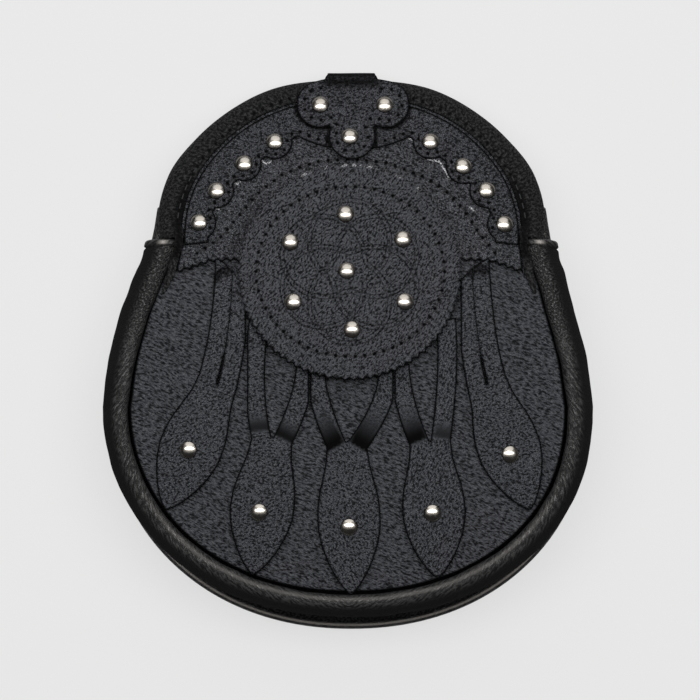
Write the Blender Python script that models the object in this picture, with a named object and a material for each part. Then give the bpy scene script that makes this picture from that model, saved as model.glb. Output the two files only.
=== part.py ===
"""A black leather day sporran with studs and leaf tassels, lying on its back.

Metres. +Z comes out of the front, +Y points to the top, and the floor is at Z = 0.
Every soft piece is a wall of leather that follows one crowned front surface.
"""

import math
from bisect import bisect

import bmesh
import bpy
import numpy as np
from mathutils import Vector
from mathutils.geometry import delaunay_2d_cdt

MM = 0.001

# Pouch: the widest place, and how far the body reaches below and above it
WIDEST = -20.7 * MM
HALF_WIDTH = 89.1 * MM
FRONT_REACH = 77.0 * MM
BACK_HALF_WIDTH = 87.6 * MM
BACK_REACH = 79.8 * MM
TOP_REACH = 118.3 * MM
SQUARENESS = 2.1

# Front surface: the crown above its rim, and how the crown falls away
CROWN = 9.0 * MM
CROWN_POWER = 2.6

# Layers of leather and the gap that neighbours keep
GAP = 0.3 * MM
BED = 0.35 * MM
PANEL_WALL = 2.0 * MM
FLAP_WALL = 1.8 * MM
YOKE_WALL = 1.0 * MM
ROUNDEL_WALL = 1.2 * MM
BAND_WALL = 1.3 * MM
TAIL_WALL = 1.0 * MM
STRAP_WALL = 1.5 * MM
LEAF_WALL = 1.35 * MM
GUSSET_WALL = 1.3 * MM
FLAP_TOP = BED + FLAP_WALL
YOKE_BED = FLAP_TOP + GAP
BAND_BED = FLAP_TOP + 1.6 * GAP
STRAP_BED = YOKE_BED + YOKE_WALL + 2 * GAP

# Rolled seams
PIPING_RADIUS = 4.7 * MM
PIPING_LIFT = 1.5 * MM
PIPING_TOP = 40.6 * MM
CAP_LENGTH = 5.0 * MM
BACK_ROLL_RADIUS = 2.5 * MM
BACK_ROLL_TOP = 53.0 * MM

# Back panel, mouth and gusset
BACK_PANEL_LOW = 1.9 * MM
MOUTH = 38.0 * MM
MOUTH_DIP = 3.0 * MM
GUSSET_FOLD = 2.5 * MM

# Top arc: the centre that its angles and radii are measured from
ARC_CENTRE = (1.0 * MM, 45.0 * MM)
FLAP_TUCK = 4.5 * MM
BACK_TUCK = 4.6 * MM
FLAP_SIDE = 61.0 * MM
BAND_LOW = 4.3 * MM
BAND_SIDE_LOW = 15.0 * MM
BAND_END = -2.4
BAND_STATIONS = 38
# A tail rises from the front panel to the flap's top between these two heights
TAIL_RISE = (33.5 * MM, 40.5 * MM)

# Roundel and the flap's tongue under it
ROUNDEL_CENTRE = (0.25 * MM, 28.4 * MM)
ROUNDEL_RADII = (40.4 * MM, 39.1 * MM)
TONGUE_RADIUS = 33.0 * MM
PINK_PITCH = 2.2 * MM
PINK_DEPTH = 0.9 * MM
SNAP_CENTRE = (0.4 * MM, 6.0 * MM)
SNAP_RADIUS = 6.0 * MM
SNAP_WALL = 0.8 * MM
SNAP_SPREAD = 34.0 * MM

# Yoke: lobes round its studs, and one long shallow scallop under the trefoil
LOBE_RADIUS = 6.4 * MM
CUSP_DEPTH = 3.4 * MM
YOKE_START = -6.5
YOKE_TUCK = 0.9 * MM
SCALLOP_CENTRE = (1.9 * MM, 117.4 * MM)
SCALLOP_RADIUS = 44.7 * MM

# Hanging strap: trefoil tab, neck, bend over the top and run down the back
NECK_HALF = 8.4 * MM
NECK_CENTRE = 0.9 * MM
STRAP_LEAVES_FRONT = 88.0 * MM
TREFOIL_HUB = (0.9 * MM, 86.5 * MM)
LOBES_END = 142.0

# Leaves
ARM_WIDTH = 7.3 * MM
SLIT = 0.45 * MM
STUD_RADIUS = 2.8 * MM

# Where the pouch's middle line runs: height, shift to the right
MIDDLE_LINE = (
    (-100, 0.8), (-60, 0.2), (-20, -0.4), (10, -0.4), (30, 0.6), (45, 1.0), (101, 1.0),
)
# Height up the pouch, height of the front surface's rim above the floor
RIM = ((-101, 26.0), (-20, 25.0), (40, 21.0), (75, 16.0), (101, 11.0))
# Height, half width of the front seam's outer side
FRONT_SIDE = (
    (-20.7, 89.1), (-5, 86.9), (8, 83.6), (21, 79.6), (30, 76.7), (39, 75.1), (54, 71.6),
)
# Height, half width of the back seam's outer side
BACK_SIDE = ((-20.7, 87.6), (5.5, 82.8), (29, 75.6), (43, 72.3), (54, 70.6))
# Length from an end of the front seam's roll, its radius: a folded cap, a groove, then the roll
PIPING_CAP = (
    (0, 3.6), (0.5, 4.5), (1.3, 4.75), (2.1, 4.5), (2.6, 3.9), (3.3, 4.3), (5, 4.9), (40, 4.9),
    (130, 4.6), (400, 4.6),
)
# Height, front edge of the gusset above the floor near and past the end of the roll
GUSSET_TOP = ((37, 17.6), (40.6, 16.6), (43.5, 13.0), (53, 9.0))
# Angle round the top arc, band's outer radius, band's inner radius
BAND_ARC = (
    (-3, 69.4, 61.9), (4, 69.8, 61.2), (15, 68.6, 59.6), (30, 64.2, 56.3), (45, 60.3, 53.1),
    (60, 57.4, 50.3), (75, 54.3, 48.0), (90, 52.8, 46.5),
)
# Height, distance from the middle line, width of the band's tail
BAND_TAIL = (
    (19.0, 66.9, 0.7), (23.5, 65.0, 2.0), (28.5, 63.7, 2.6), (34, 63.2, 3.2),
    (37.5, 63.2, 3.3), (40.5, 63.3, 3.4), (45, 63.4, 3.6),
)
# Share of the band's width from its inner edge, share of its depth below the top
BAND_SECTION = (
    (0.0, 0.0), (0.3, 0.0), (0.6, 0.01), (0.85, 0.12), (1.0, 0.42), (0.93, 0.76), (0.7, 1.0),
    (0.3, 1.0),
)
# Lower edges of the flap, from the tail to the roundel: distance from the middle line, height
FLAP_EDGE = ((61.4, 28.4), (57.2, 30.0), (51.0, 32.4), (43.0, 32.7), (32.9, 32.7))
# Trefoil lobes: x, y, radius
LOBES = ((-10.5, 89.8, 8.9), (13.5, 89.8, 9.0), (1.2, 77.8, 8.5), (1.2, 86.0, 9.5))
# Length along the strap, half width of the neck where it grows out of the lobes
NECK = ((98.8, 9.7), (100.0, 9.4), (102.0, 8.4))
# Strap's inner face over the top: y, z
STRAP_BEND = (
    (92, 18.3), (95, 17.2), (97.3, 15.4), (98.7, 12.5), (98.9, 9.0), (98.4, 5.4), (96.8, 2.6),
    (94.5, 1.5), (90, 1.5), (24, 1.5),
)
# Leaf: name, shoulder x and y, tip x and y, half width
LEAVES = (
    ("leaf_far_left", -47.7, -12.2, -66.6, -57.9, 11.5),
    ("leaf_left", -27.9, -32.7, -34.9, -81.6, 11.7),
    ("leaf_centre", -0.6, -34.6, 0.8, -88.8, 11.5),
    ("leaf_right", 29.5, -33.8, 32.3, -82.8, 11.5),
    ("leaf_far_right", 50.1, -12.2, 65.9, -57.9, 11.6),
)
# Each leaf's arms, left then right: top x and y, bend x and y, limits left and right in x
ARMS = {
    "leaf_far_left": ((-45.0, 31.2, -46.6, 10.9, -99, 99), (-39.6, 25.6, -40.8, 5.5, -99, -37.3)),
    "leaf_left": ((-32.6, 11.4, -34.0, -12.0, -36.9, 99), (-15.6, -5.1, -17.9, -18.1, -99, -14.4)),
    "leaf_centre": ((-12.3, -5.1, -10.3, -18.6, -14.0, 99), (13.9, -5.1, 12.3, -18.1, -99, 16.2)),
    "leaf_right": ((18.4, -5.1, 20.5, -18.9, 16.6, 99), (35.2, 11.4, 35.6, -8.6, -99, 40.2)),
    "leaf_far_right": ((42.0, 25.6, 43.6, 5.5, 40.6, 99), (47.6, 31.2, 49.6, 8.6, -99, 99)),
}
# Share of the way from shoulder to tip, share of the half width
LEAF_PROFILE = (
    (0.0, 0.655), (0.1, 0.69), (0.21, 0.80), (0.32, 0.92), (0.42, 0.985), (0.52, 1.0),
    (0.63, 0.93), (0.75, 0.76), (0.87, 0.50), (0.96, 0.22), (1.0, 0.03),
)
# Studs: carrier, x, y
STUDS = (
    ("yoke", -54.5, 46.3), ("yoke", -48.1, 57.9), ("yoke", -38.1, 67.8), ("yoke", -26.9, 75.8),
    ("yoke", 29.7, 75.8), ("yoke", 41.6, 66.8), ("yoke", 50.2, 58.0), ("yoke", 56.6, 45.7),
    ("trefoil", -10.4, 89.2), ("trefoil", 13.1, 89.2), ("trefoil", 0.4, 77.6),
    ("roundel", -1.2, 49.4), ("roundel", 19.7, 40.2), ("roundel", 20.4, 17.6),
    ("roundel", 1.2, 7.5), ("roundel", -20.2, 17.5), ("roundel", -21.3, 39.2),
    ("roundel", -0.7, 28.8),
    ("leaf", -58.2, -36.2), ("leaf", -32.5, -58.8), ("leaf", 0.1, -64.2),
    ("leaf", 30.4, -59.1), ("leaf", 58.6, -37.8),
)
# Stud's turned outline: share of its radius, height above its seat
STUD_PROFILE = ((1.0, 0.0), (1.0, 0.45), (0.86, 1.2), (0.52, 1.9), (0.0, 2.2))

# Colour, roughness, metallic
FINISHES = {
    "grained_leather": ((0.030, 0.031, 0.036), 0.62, 0.0),
    "smooth_leather": ((0.012, 0.012, 0.013), 0.42, 0.0),
    "back_leather": ((0.020, 0.020, 0.021), 0.58, 0.0),
    "nickel": ((0.72, 0.68, 0.62), 0.18, 1.0),
}


def smooth(table, at, column=1):
    """A column of a table of sections, read smoothly between its rows."""
    keys = [row[0] for row in table]
    values = [row[column] for row in table]
    at = min(max(at, keys[0]), keys[-1])
    steps = [(b - a) / (k - j) for a, b, j, k in zip(values, values[1:], keys, keys[1:])]
    slopes = [steps[0]]
    for before, after in zip(steps, steps[1:]):
        turning = before * after <= 0
        slopes.append(0.0 if turning else 2 * before * after / (before + after))
    slopes.append(steps[-1])
    i = min(max(bisect(keys, at) - 1, 0), len(keys) - 2)
    span = keys[i + 1] - keys[i]
    t = (at - keys[i]) / span
    return (
        values[i] * (1 + 2 * t) * (1 - t) ** 2
        + values[i + 1] * t * t * (3 - 2 * t)
        + span * t * (1 - t) * (slopes[i] * (1 - t) - slopes[i + 1] * t)
    )


def ease(low, high, at):
    """0 below low, 1 above high, and a soft step between them."""
    t = min(max((at - low) / (high - low), 0.0), 1.0)
    return t * t * (3 - 2 * t)


def read(table, at, column=1):
    """A length from a table that is written in millimetres."""
    return smooth(table, at / MM, column) * MM


def middle(y):
    return read(MIDDLE_LINE, y)


def outwards(x, y):
    """How far out a point lies: 0 at the middle of the body, 1 at its outline."""
    across = abs(x - middle(y)) / HALF_WIDTH
    up = y - WIDEST
    along = abs(up) / (TOP_REACH if up > 0 else BACK_REACH)
    return (across**SQUARENESS + along**SQUARENESS) ** (1 / SQUARENESS)


def front(x, y):
    """Height of the pouch's crowned front surface."""
    return read(RIM, y) + CROWN * (1 - outwards(x, y) ** CROWN_POWER)


def snap_swell(x, y):
    """How far the closure under the flap lifts the layers that lie over it."""
    away = math.hypot(x - SNAP_CENTRE[0], y - SNAP_CENTRE[1])
    return (SNAP_WALL + 2 * GAP) * (1 - ease(2 * SNAP_RADIUS, SNAP_SPREAD, away))


def seam(side, half_width, reach, inset, top, upper_steps=12, lower_steps=34):
    """Points down one side, round the bottom and up the other, drawn in by an inset."""
    down = np.linspace(top, WIDEST, upper_steps, endpoint=False)
    left = [(middle(y) - read(side, y) + inset, y) for y in down]
    bottom = []
    for angle in np.linspace(math.pi, 2 * math.pi, lower_steps + 1):
        across = math.copysign(abs(math.cos(angle)) ** (2 / SQUARENESS), math.cos(angle))
        along = -(abs(math.sin(angle)) ** (2 / SQUARENESS))
        y = WIDEST + along * (reach - inset)
        bottom.append((middle(y) + across * (half_width - inset), y))
    right = [(middle(y) + read(side, y) - inset, y) for y in reversed(down)]
    return left + bottom + right


def front_seam(inset, top=PIPING_TOP):
    return seam(FRONT_SIDE, HALF_WIDTH, FRONT_REACH, inset, top)


def back_seam(inset, top=BACK_ROLL_TOP):
    return seam(BACK_SIDE, BACK_HALF_WIDTH, BACK_REACH, inset, top)


def arc_point(angle, radius):
    """A point on the top arc, whose angles run from its right end over the top."""
    turn = math.radians(angle)
    return (
        ARC_CENTRE[0] + radius * math.cos(turn),
        ARC_CENTRE[1] + radius * math.sin(turn),
    )


def band_radius(angle, column):
    """Band's outer (1) or inner (2) radius, the same on both sides of the top."""
    return smooth(BAND_ARC, 90 - abs(90 - angle), column) * MM


def wall(section, thickness):
    """Close an open section line into the ring of a wall, by setting it in to its left."""
    line = np.array(section)
    along = np.gradient(line, axis=0)
    along /= np.linalg.norm(along, axis=1)[:, None]
    inner = line + thickness * np.column_stack([-along[:, 1], along[:, 0]])
    return [*line, *inner[::-1]]


def finish(name):
    material = bpy.data.materials.get(name)
    if material:
        return material
    colour, roughness, metallic = FINISHES[name]
    material = bpy.data.materials.new(name)
    material.use_nodes = True
    shader = material.node_tree.nodes["Principled BSDF"]
    shader.inputs["Base Color"].default_value = (*colour, 1)
    shader.inputs["Roughness"].default_value = roughness
    shader.inputs["Metallic"].default_value = metallic
    return material


def place_object(name, data, material):
    obj = bpy.data.objects.new(name, data)
    obj.data.materials.append(finish(material))
    bpy.context.scene.collection.objects.link(obj)
    return obj


def solid(name, form, material, crease=50):
    """An object from a bmesh, with its faces turned out and its round parts shaded smooth."""
    bmesh.ops.recalc_face_normals(form, faces=form.faces)
    mesh = bpy.data.meshes.new(name)
    form.to_mesh(mesh)
    form.free()
    mesh.shade_smooth()
    mesh.set_sharp_from_angle(angle=math.radians(crease))
    return place_object(name, mesh, material)


def inner_grid(outline, cell):
    """A staggered grid of points inside an outline, clear of its edge."""
    ends = np.roll(outline, -1, axis=0)
    runs = ends - outline
    low = outline.min(axis=0)
    high = outline.max(axis=0)
    found = []
    for row, y in enumerate(np.arange(low[1] + cell / 2, high[1], cell * 0.87)):
        for x in np.arange(low[0] + cell / 2 * (1 + row % 2), high[0], cell):
            point = np.array((x, y))
            share = ((point - outline) * runs).sum(axis=1) / (runs**2).sum(axis=1)
            nearest = outline + np.clip(share, 0, 1)[:, None] * runs
            crossed = (outline[:, 1] > y) != (ends[:, 1] > y)
            rises = np.where(crossed, runs[:, 1], 1)
            at = outline[:, 0] + (y - outline[:, 1]) * runs[:, 0] / rises
            inside = (crossed & (x < at)).sum() % 2
            if inside and np.linalg.norm(point - nearest, axis=1).min() > 0.45 * cell:
                found.append(point)
    return found


def sheet(name, outline, faces_at, cell, material, grid=None):
    """Leather cut to a flat outline and laid in place: faces_at gives a point's two faces."""
    outline = np.array(outline)
    inner = inner_grid(outline, cell) if grid is None else grid
    points = [Vector(point) for point in (*outline, *inner)]
    rim = [list(range(len(outline)))]
    flat, _, triangles, *_ = delaunay_2d_cdt(points, [], rim, 1, 1e-7)
    form = bmesh.new()
    pairs = [faces_at(*point) for point in flat]
    under = [form.verts.new(low) for low, _ in pairs]
    over = [form.verts.new(high) for _, high in pairs]
    for corners in triangles:
        form.faces.new([over[i] for i in corners])
        form.faces.new([under[i] for i in reversed(corners)])
    open_edges = {}
    for corners in triangles:
        for a, b in zip(corners, (*corners[1:], corners[0])):
            if open_edges.pop((b, a), None) is None:
                open_edges[(a, b)] = True
    for a, b in open_edges:
        form.faces.new((over[b], over[a], under[a], under[b]))
    return solid(name, form, material)


def laid(bed, thickness):
    """Faces of a sheet on the front surface, a bed above it (a length or a function)."""

    def faces_at(x, y):
        low = front(x, y) + (bed(x, y) if callable(bed) else bed)
        return (x, y, low), (x, y, low + thickness)

    return faces_at


def loft(name, rings, material):
    """A closed skin through rings of equal count, capped at both ends."""
    form = bmesh.new()
    rows = [[form.verts.new(point) for point in ring] for ring in rings]
    for row, following in zip(rows, rows[1:]):
        for i in range(len(row)):
            j = (i + 1) % len(row)
            form.faces.new((row[i], row[j], following[j], following[i]))
    form.faces.new(rows[0])
    form.faces.new(rows[-1])
    return solid(name, form, material)


def roll(name, path, radius_at, sides, material):
    """A rolled seam: a filled tube on a path, with a radius for each place along it."""
    curve = bpy.data.curves.new(name, "CURVE")
    curve.dimensions = "3D"
    curve.bevel_depth = 1.0
    curve.bevel_resolution = sides // 2 - 2
    curve.use_fill_caps = True
    spline = curve.splines.new("POLY")
    spline.points.add(len(path) - 1)
    lengths = [0.0]
    for a, b in zip(path, path[1:]):
        lengths.append(lengths[-1] + math.dist(a, b))
    for point, at, length in zip(spline.points, path, lengths):
        point.co = (*at, 1)
        point.radius = radius_at(min(length, lengths[-1] - length))
    return place_object(name, curve, material)


def pinked(line, pitch, depth, closed=False):
    """A line cut with pinking shears: even teeth, half in and half out."""
    line = np.array(line)
    if closed:
        line = np.vstack([line, line[:1]])
    lengths = np.append(0, np.cumsum(np.linalg.norm(np.diff(line, axis=0), axis=1)))
    teeth = round(lengths[-1] / pitch)
    at = np.linspace(0, lengths[-1], 2 * teeth + 1)
    points = np.column_stack([np.interp(at, lengths, line[:, i]) for i in (0, 1)])
    along = np.gradient(points, axis=0)
    along /= np.linalg.norm(along, axis=1)[:, None]
    side = np.where(np.arange(len(at)) % 2, 0.5, -0.5) * depth
    cut = points + side[:, None] * np.column_stack([along[:, 1], -along[:, 0]])
    return cut[:-1] if closed else cut


def make_back_panel():
    sides = back_seam(2 * BACK_ROLL_RADIUS + GAP)
    arc = []
    for angle in range(12, 169, 6):
        arc.append(arc_point(angle, band_radius(angle, 1) - BACK_TUCK))
    high = BACK_PANEL_LOW + PANEL_WALL

    def faces_at(x, y):
        return (x, y, BACK_PANEL_LOW), (x, y, high)

    sheet("back_panel", [*sides, *arc], faces_at, 60 * MM, "back_leather")


def make_back_piping():
    path = [(x, y, BACK_ROLL_RADIUS) for x, y in back_seam(BACK_ROLL_RADIUS)]
    roll("back_piping", path, lambda _: BACK_ROLL_RADIUS, 8, "smooth_leather")


def make_front_piping():
    """A fat roll whose ends are folded over into a cap with a groove below it."""
    ends = [PIPING_TOP - row[0] * MM for row in PIPING_CAP if row[0] * MM <= CAP_LENGTH]
    left = [(middle(y) - read(FRONT_SIDE, y) + PIPING_RADIUS, y) for y in ends]
    right = [(middle(y) + read(FRONT_SIDE, y) - PIPING_RADIUS, y) for y in reversed(ends)]
    body = [point for point in front_seam(PIPING_RADIUS) if point[1] < ends[-1] - 1 * MM]
    path = [(x, y, read(RIM, y) + PIPING_LIFT) for x, y in (*left, *body, *right)]
    roll("front_piping", path, lambda s: read(PIPING_CAP, s), 12, "smooth_leather")


def make_gusset():
    """A soft wall from the back roll to the front roll, folded a little inwards."""
    low = 2 * BACK_ROLL_RADIUS + GAP
    top_starts = GUSSET_TOP[0][0] * MM
    rings = []
    backs = back_seam(BACK_ROLL_RADIUS)
    fronts = front_seam(PIPING_RADIUS, BACK_ROLL_TOP)
    travel = np.gradient(np.array(fronts), axis=0)
    for back, ahead, way in zip(backs, fronts, travel):
        inwards = np.array((-way[1], way[0])) / np.hypot(*way)
        y = ahead[1]
        below_piping = read(RIM, y) + PIPING_LIFT - PIPING_RADIUS - 2 * GAP
        high = min(below_piping, read(GUSSET_TOP, y)) if y > top_starts else below_piping
        reach = float(np.dot(np.array(ahead) - back, inwards))
        section = []
        for share in np.linspace(0, 1, 5):
            fold = GUSSET_FOLD * math.sin(math.pi * share)
            section.append((reach * share + fold, low + (high - low) * share))
        ring = wall(section, -GUSSET_WALL)
        ring = [(n, min(max(z, low), high)) for n, z in ring]
        rings.append([(*(np.array(back) + inwards * n), z) for n, z in ring])
    loft("gusset", rings, "smooth_leather")


def make_front_panel():
    seam_line = front_seam(2 * PIPING_RADIUS + 2 * GAP, MOUTH)
    left = seam_line[0][0]
    right = seam_line[-1][0]
    mouth = []
    for share in np.linspace(1, 0, 12)[1:-1]:
        dip = MOUTH_DIP * math.sin(math.pi * share)
        mouth.append((left + (right - left) * share, MOUTH - dip))
    outline = [*seam_line, *mouth]
    sheet("front_panel", outline, laid(-PANEL_WALL, PANEL_WALL), 13 * MM, "grained_leather")


def flap_bed(x, y):
    return BED + snap_swell(x, y)


def make_flap():
    arc = []
    for angle in range(4, 177, 6):
        arc.append(arc_point(angle, band_radius(angle, 1) - FLAP_TUCK))
    lower = {}
    for side in (-1, 1):
        edge = []
        for across, y in FLAP_EDGE:
            edge.append((middle(y * MM) + side * across * MM, y * MM))
        lower[side] = pinked(edge, PINK_PITCH, PINK_DEPTH)
    start = math.asin((FLAP_EDGE[-1][1] * MM - ROUNDEL_CENTRE[1]) / TONGUE_RADIUS)
    tongue = []
    for angle in np.linspace(math.pi - start, 2 * math.pi + start, 22)[1:-1]:
        tongue.append((
            ROUNDEL_CENTRE[0] + TONGUE_RADIUS * math.cos(angle),
            ROUNDEL_CENTRE[1] + TONGUE_RADIUS * math.sin(angle),
        ))
    shoulder = 40 * MM
    left = (middle(shoulder) - FLAP_SIDE, shoulder)
    right = (middle(shoulder) + FLAP_SIDE, shoulder)
    outline = [*arc, left, *lower[-1], *tongue, *lower[1][::-1], right]
    sheet("flap", outline, laid(flap_bed, FLAP_WALL), 12 * MM, "grained_leather")


def make_top_band():
    """Soft leather from the flap's face over its edge to the back, with two slim tails."""
    rings = []
    for angle in np.linspace(BAND_END, 180 - BAND_END, BAND_STATIONS):
        outer = band_radius(angle, 1)
        width = outer - band_radius(angle, 2)
        side = 1 - ease(3, 22, 90 - abs(90 - angle))
        low = BAND_LOW + (BAND_SIDE_LOW - BAND_LOW) * side
        section = []
        top = front(*arc_point(angle, outer)) + BAND_BED + BAND_WALL
        for share, depth in BAND_SECTION:
            radius = outer - width * (1 - share)
            face = front(*arc_point(angle, radius)) + BAND_BED + BAND_WALL
            height = face if depth < 0.1 else top
            section.append((radius, height - depth * (height - low)))
        ring = wall(section, -BAND_WALL)
        rings.append([(*arc_point(angle, radius), z) for radius, z in ring])
    band = loft("top_band", rings, "smooth_leather")

    def tail_bed(_, height):
        return BED + (BAND_BED + 0.5 * GAP - BED) * ease(*TAIL_RISE, height)

    for side, name in ((-1, "top_band_left_tail"), (1, "top_band_right_tail")):
        edges = ([], [])
        for y, across, width in BAND_TAIL:
            x = middle(y * MM) + side * across * MM
            edges[0].append((x - width / 2 * MM, y * MM))
            edges[1].append((x + width / 2 * MM, y * MM))
        outline = [*edges[0], *edges[1][::-1]]
        tail = sheet(name, outline, laid(tail_bed, TAIL_WALL), 9 * MM, "smooth_leather")
        tail.hide_render = True
        tail.display_type = "WIRE"
        join = band.modifiers.new(name, "BOOLEAN")
        join.operation = "UNION"
        join.object = tail


def lobe_radius(angle, centre, x, y, radius, nearest):
    """Where a ray from a centre first or last meets a disc, or None where it misses."""
    away = math.hypot(x - centre[0], y - centre[1])
    turn = math.radians(angle) - math.atan2(y - centre[1], x - centre[0])
    inside = radius**2 - (away * math.sin(turn)) ** 2
    if inside < 0 or math.cos(turn) < 0 and away > radius:
        return None
    reach = math.sqrt(inside)
    return away * math.cos(turn) - reach if nearest else away * math.cos(turn) + reach


def yoke_radius(angle):
    """The yoke's inner edge: lobes round its studs, cusps between, a long scallop on top."""
    studs = [(x * MM, y * MM) for carrier, x, y in STUDS if carrier == "yoke"]
    polar = []
    for x, y in studs:
        turn = math.degrees(math.atan2(y - ARC_CENTRE[1], x - ARC_CENTRE[0]))
        polar.append((turn, math.hypot(x - ARC_CENTRE[0], y - ARC_CENTRE[1])))
    polar.sort()
    line = np.interp(angle, [t for t, _ in polar], [r for _, r in polar])
    reaches = [line - CUSP_DEPTH]
    for x, y in studs:
        reaches.append(lobe_radius(angle, ARC_CENTRE, x, y, LOBE_RADIUS, nearest=True))
    reaches.append(lobe_radius(angle, ARC_CENTRE, *SCALLOP_CENTRE, SCALLOP_RADIUS, nearest=True))
    return min(reach for reach in reaches if reach is not None)


def make_yoke():
    end = 180 - YOKE_START
    inner = []
    for angle in np.linspace(YOKE_START, end, 73):
        inner.append(arc_point(angle, yoke_radius(angle)))
    outer = []
    for angle in np.linspace(end, YOKE_START, 34):
        outer.append(arc_point(angle, band_radius(angle, 2) - YOKE_TUCK))
    outline = [*inner, *outer]
    sheet("yoke", outline, laid(YOKE_BED, YOKE_WALL), 12 * MM, "grained_leather")


def roundel_bed(x, y):
    return YOKE_BED + snap_swell(x, y)


def make_roundel():
    circle = []
    for turn in np.linspace(0, 2 * math.pi, 120, endpoint=False):
        circle.append((
            ROUNDEL_CENTRE[0] + ROUNDEL_RADII[0] * math.cos(turn),
            ROUNDEL_CENTRE[1] + ROUNDEL_RADII[1] * math.sin(turn),
        ))
    edge = pinked(circle, PINK_PITCH, PINK_DEPTH, closed=True)
    sheet("roundel", edge, laid(roundel_bed, ROUNDEL_WALL), 11 * MM, "grained_leather")


def strap_path():
    """The strap's run past the front: how far along the leather, then where its inner face is."""
    start = (STRAP_LEAVES_FRONT, front(NECK_CENTRE, STRAP_LEAVES_FRONT) + STRAP_BED)
    points = [start, *((y * MM, z * MM) for y, z in STRAP_BEND)]
    lengths = [STRAP_LEAVES_FRONT]
    for a, b in zip(points, points[1:]):
        lengths.append(lengths[-1] + math.dist(a, b))
    return lengths, points


def strap_faces(x, s):
    """Bend the flat strap: on the front it lies on the yoke, then it follows its path."""
    lengths, points = strap_path()
    if s <= lengths[0]:
        return laid(STRAP_BED, STRAP_WALL)(x, s)
    tilt = front(x, STRAP_LEAVES_FRONT) - front(NECK_CENTRE, STRAP_LEAVES_FRONT)
    tilt *= 1 - ease(lengths[0], lengths[4], s)

    def inner(at):
        y = np.interp(at, lengths, [p[0] for p in points])
        z = np.interp(at, lengths, [p[1] for p in points])
        return np.array((y, z))

    here = inner(s)
    step = 0.9 * MM
    along = inner(s + step) - inner(s - step)
    along /= np.linalg.norm(along)
    upright = ease(lengths[0], lengths[1], s)
    normal = np.array((-along[1], along[0])) * upright + np.array((0, 1)) * (1 - upright)
    there = here + STRAP_WALL * normal / np.linalg.norm(normal)
    return (x, here[0], here[1] + tilt), (x, there[0], there[1] + tilt)


def make_trefoil_strap():
    lobes = [(x * MM, y * MM, r * MM) for x, y, r in LOBES]
    tab = []
    for angle in np.linspace(LOBES_END, 540 - LOBES_END, 60):
        reaches = [lobe_radius(angle, TREFOIL_HUB, *lobe, nearest=False) for lobe in lobes]
        reach = max(r for r in reaches if r is not None)
        turn = math.radians(angle)
        tab.append((
            TREFOIL_HUB[0] + reach * math.cos(turn),
            TREFOIL_HUB[1] + reach * math.sin(turn),
        ))
    lengths, _ = strap_path()
    neck = [(s * MM, half * MM) for s, half in NECK]
    narrow = neck[-1][0] + 2 * MM
    for s in np.arange(narrow, lengths[-2], 2.2 * MM):
        neck.append((s, NECK_HALF))
    for s in np.linspace(lengths[-2], lengths[-1] - NECK_HALF, 6):
        neck.append((s, NECK_HALF))
    end = []
    for turn in np.linspace(0, math.pi, 9)[1:-1]:
        along = lengths[-1] - NECK_HALF * (1 - math.sin(turn))
        end.append((NECK_CENTRE + NECK_HALF * math.cos(turn), along))
    right = [(NECK_CENTRE + half, s) for s, half in neck]
    left = [(NECK_CENTRE - half, s) for s, half in reversed(neck)]
    outline = [*tab, *right, *end, *left]
    bend = STRAP_LEAVES_FRONT + 2 * MM
    grid = [point for point in inner_grid(np.array(outline), 7 * MM) if point[1] < bend]
    for s in np.arange(bend, narrow, 1.8 * MM):
        grid.extend((NECK_CENTRE + share * NECK_HALF, s) for share in (-0.8, 0, 0.8))
    sheet("trefoil_strap", outline, strap_faces, 7 * MM, "grained_leather", grid)


def make_snap():
    """A flat closure between the flap's tongue and the front panel."""
    edge = []
    for turn in np.linspace(0, 2 * math.pi, 20, endpoint=False):
        edge.append((
            SNAP_CENTRE[0] + SNAP_RADIUS * math.cos(turn),
            SNAP_CENTRE[1] + SNAP_RADIUS * math.sin(turn),
        ))
    sheet("flap_snap", edge, laid(GAP, SNAP_WALL), 9 * MM, "nickel")


def arm_edges(top, bend, foot, limits, side):
    """Outer and inner edge of an arm: a strip of even width on a curve, cut at its limits."""
    pull = 2 * bend - (top + foot) / 2
    outer = []
    inner = []
    for t in np.linspace(0, 1, 7):
        centre = top * (1 - t) ** 2 + pull * 2 * t * (1 - t) + foot * t * t
        way = (pull - top) * (1 - t) + (foot - pull) * t
        way /= np.linalg.norm(way)
        aside = np.array((-way[1], way[0])) * side * ARM_WIDTH / 2
        for line, point in ((outer, centre + aside), (inner, centre - aside)):
            line.append((min(max(point[0], limits[0]), limits[1]), point[1]))
    return outer, inner


def leaf_outline(shoulder, tip, half_width, arms):
    """Left arm, one side of the leaf, its tip, the other side, right arm, the slit between."""
    shoulder = np.array(shoulder)
    axis = np.array(tip) - shoulder
    length = np.linalg.norm(axis)
    axis /= length
    across = np.array((-axis[1], axis[0]))
    sides = {-1: [], 1: []}
    for share, width in LEAF_PROFILE[1:]:
        for side, line in sides.items():
            line.append(shoulder + axis * length * share + across * side * half_width * width)
    edges = []
    for side, arm in zip(sides, arms):
        top = np.array(arm[:2]) * MM
        bend = np.array(arm[2:4]) * MM
        limits = np.array(arm[4:]) * MM
        foot = shoulder + across * side * (ARM_WIDTH + SLIT) / 2
        edges.append(arm_edges(top, bend, foot, limits, side))
    (left_outer, left_inner), (right_outer, right_inner) = edges
    return [
        *left_outer[:-1], *sides[-1], *sides[1][::-1], *right_outer[:-1][::-1],
        *right_inner, *left_inner[::-1],
    ]


def make_leaves():
    for name, shoulder_x, shoulder_y, tip_x, tip_y, half_width in LEAVES:
        shoulder = (shoulder_x * MM, shoulder_y * MM)
        tip = (tip_x * MM, tip_y * MM)
        outline = leaf_outline(shoulder, tip, half_width * MM, ARMS[name])
        sheet(name, outline, laid(BED, LEAF_WALL), 10 * MM, "grained_leather")


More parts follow.
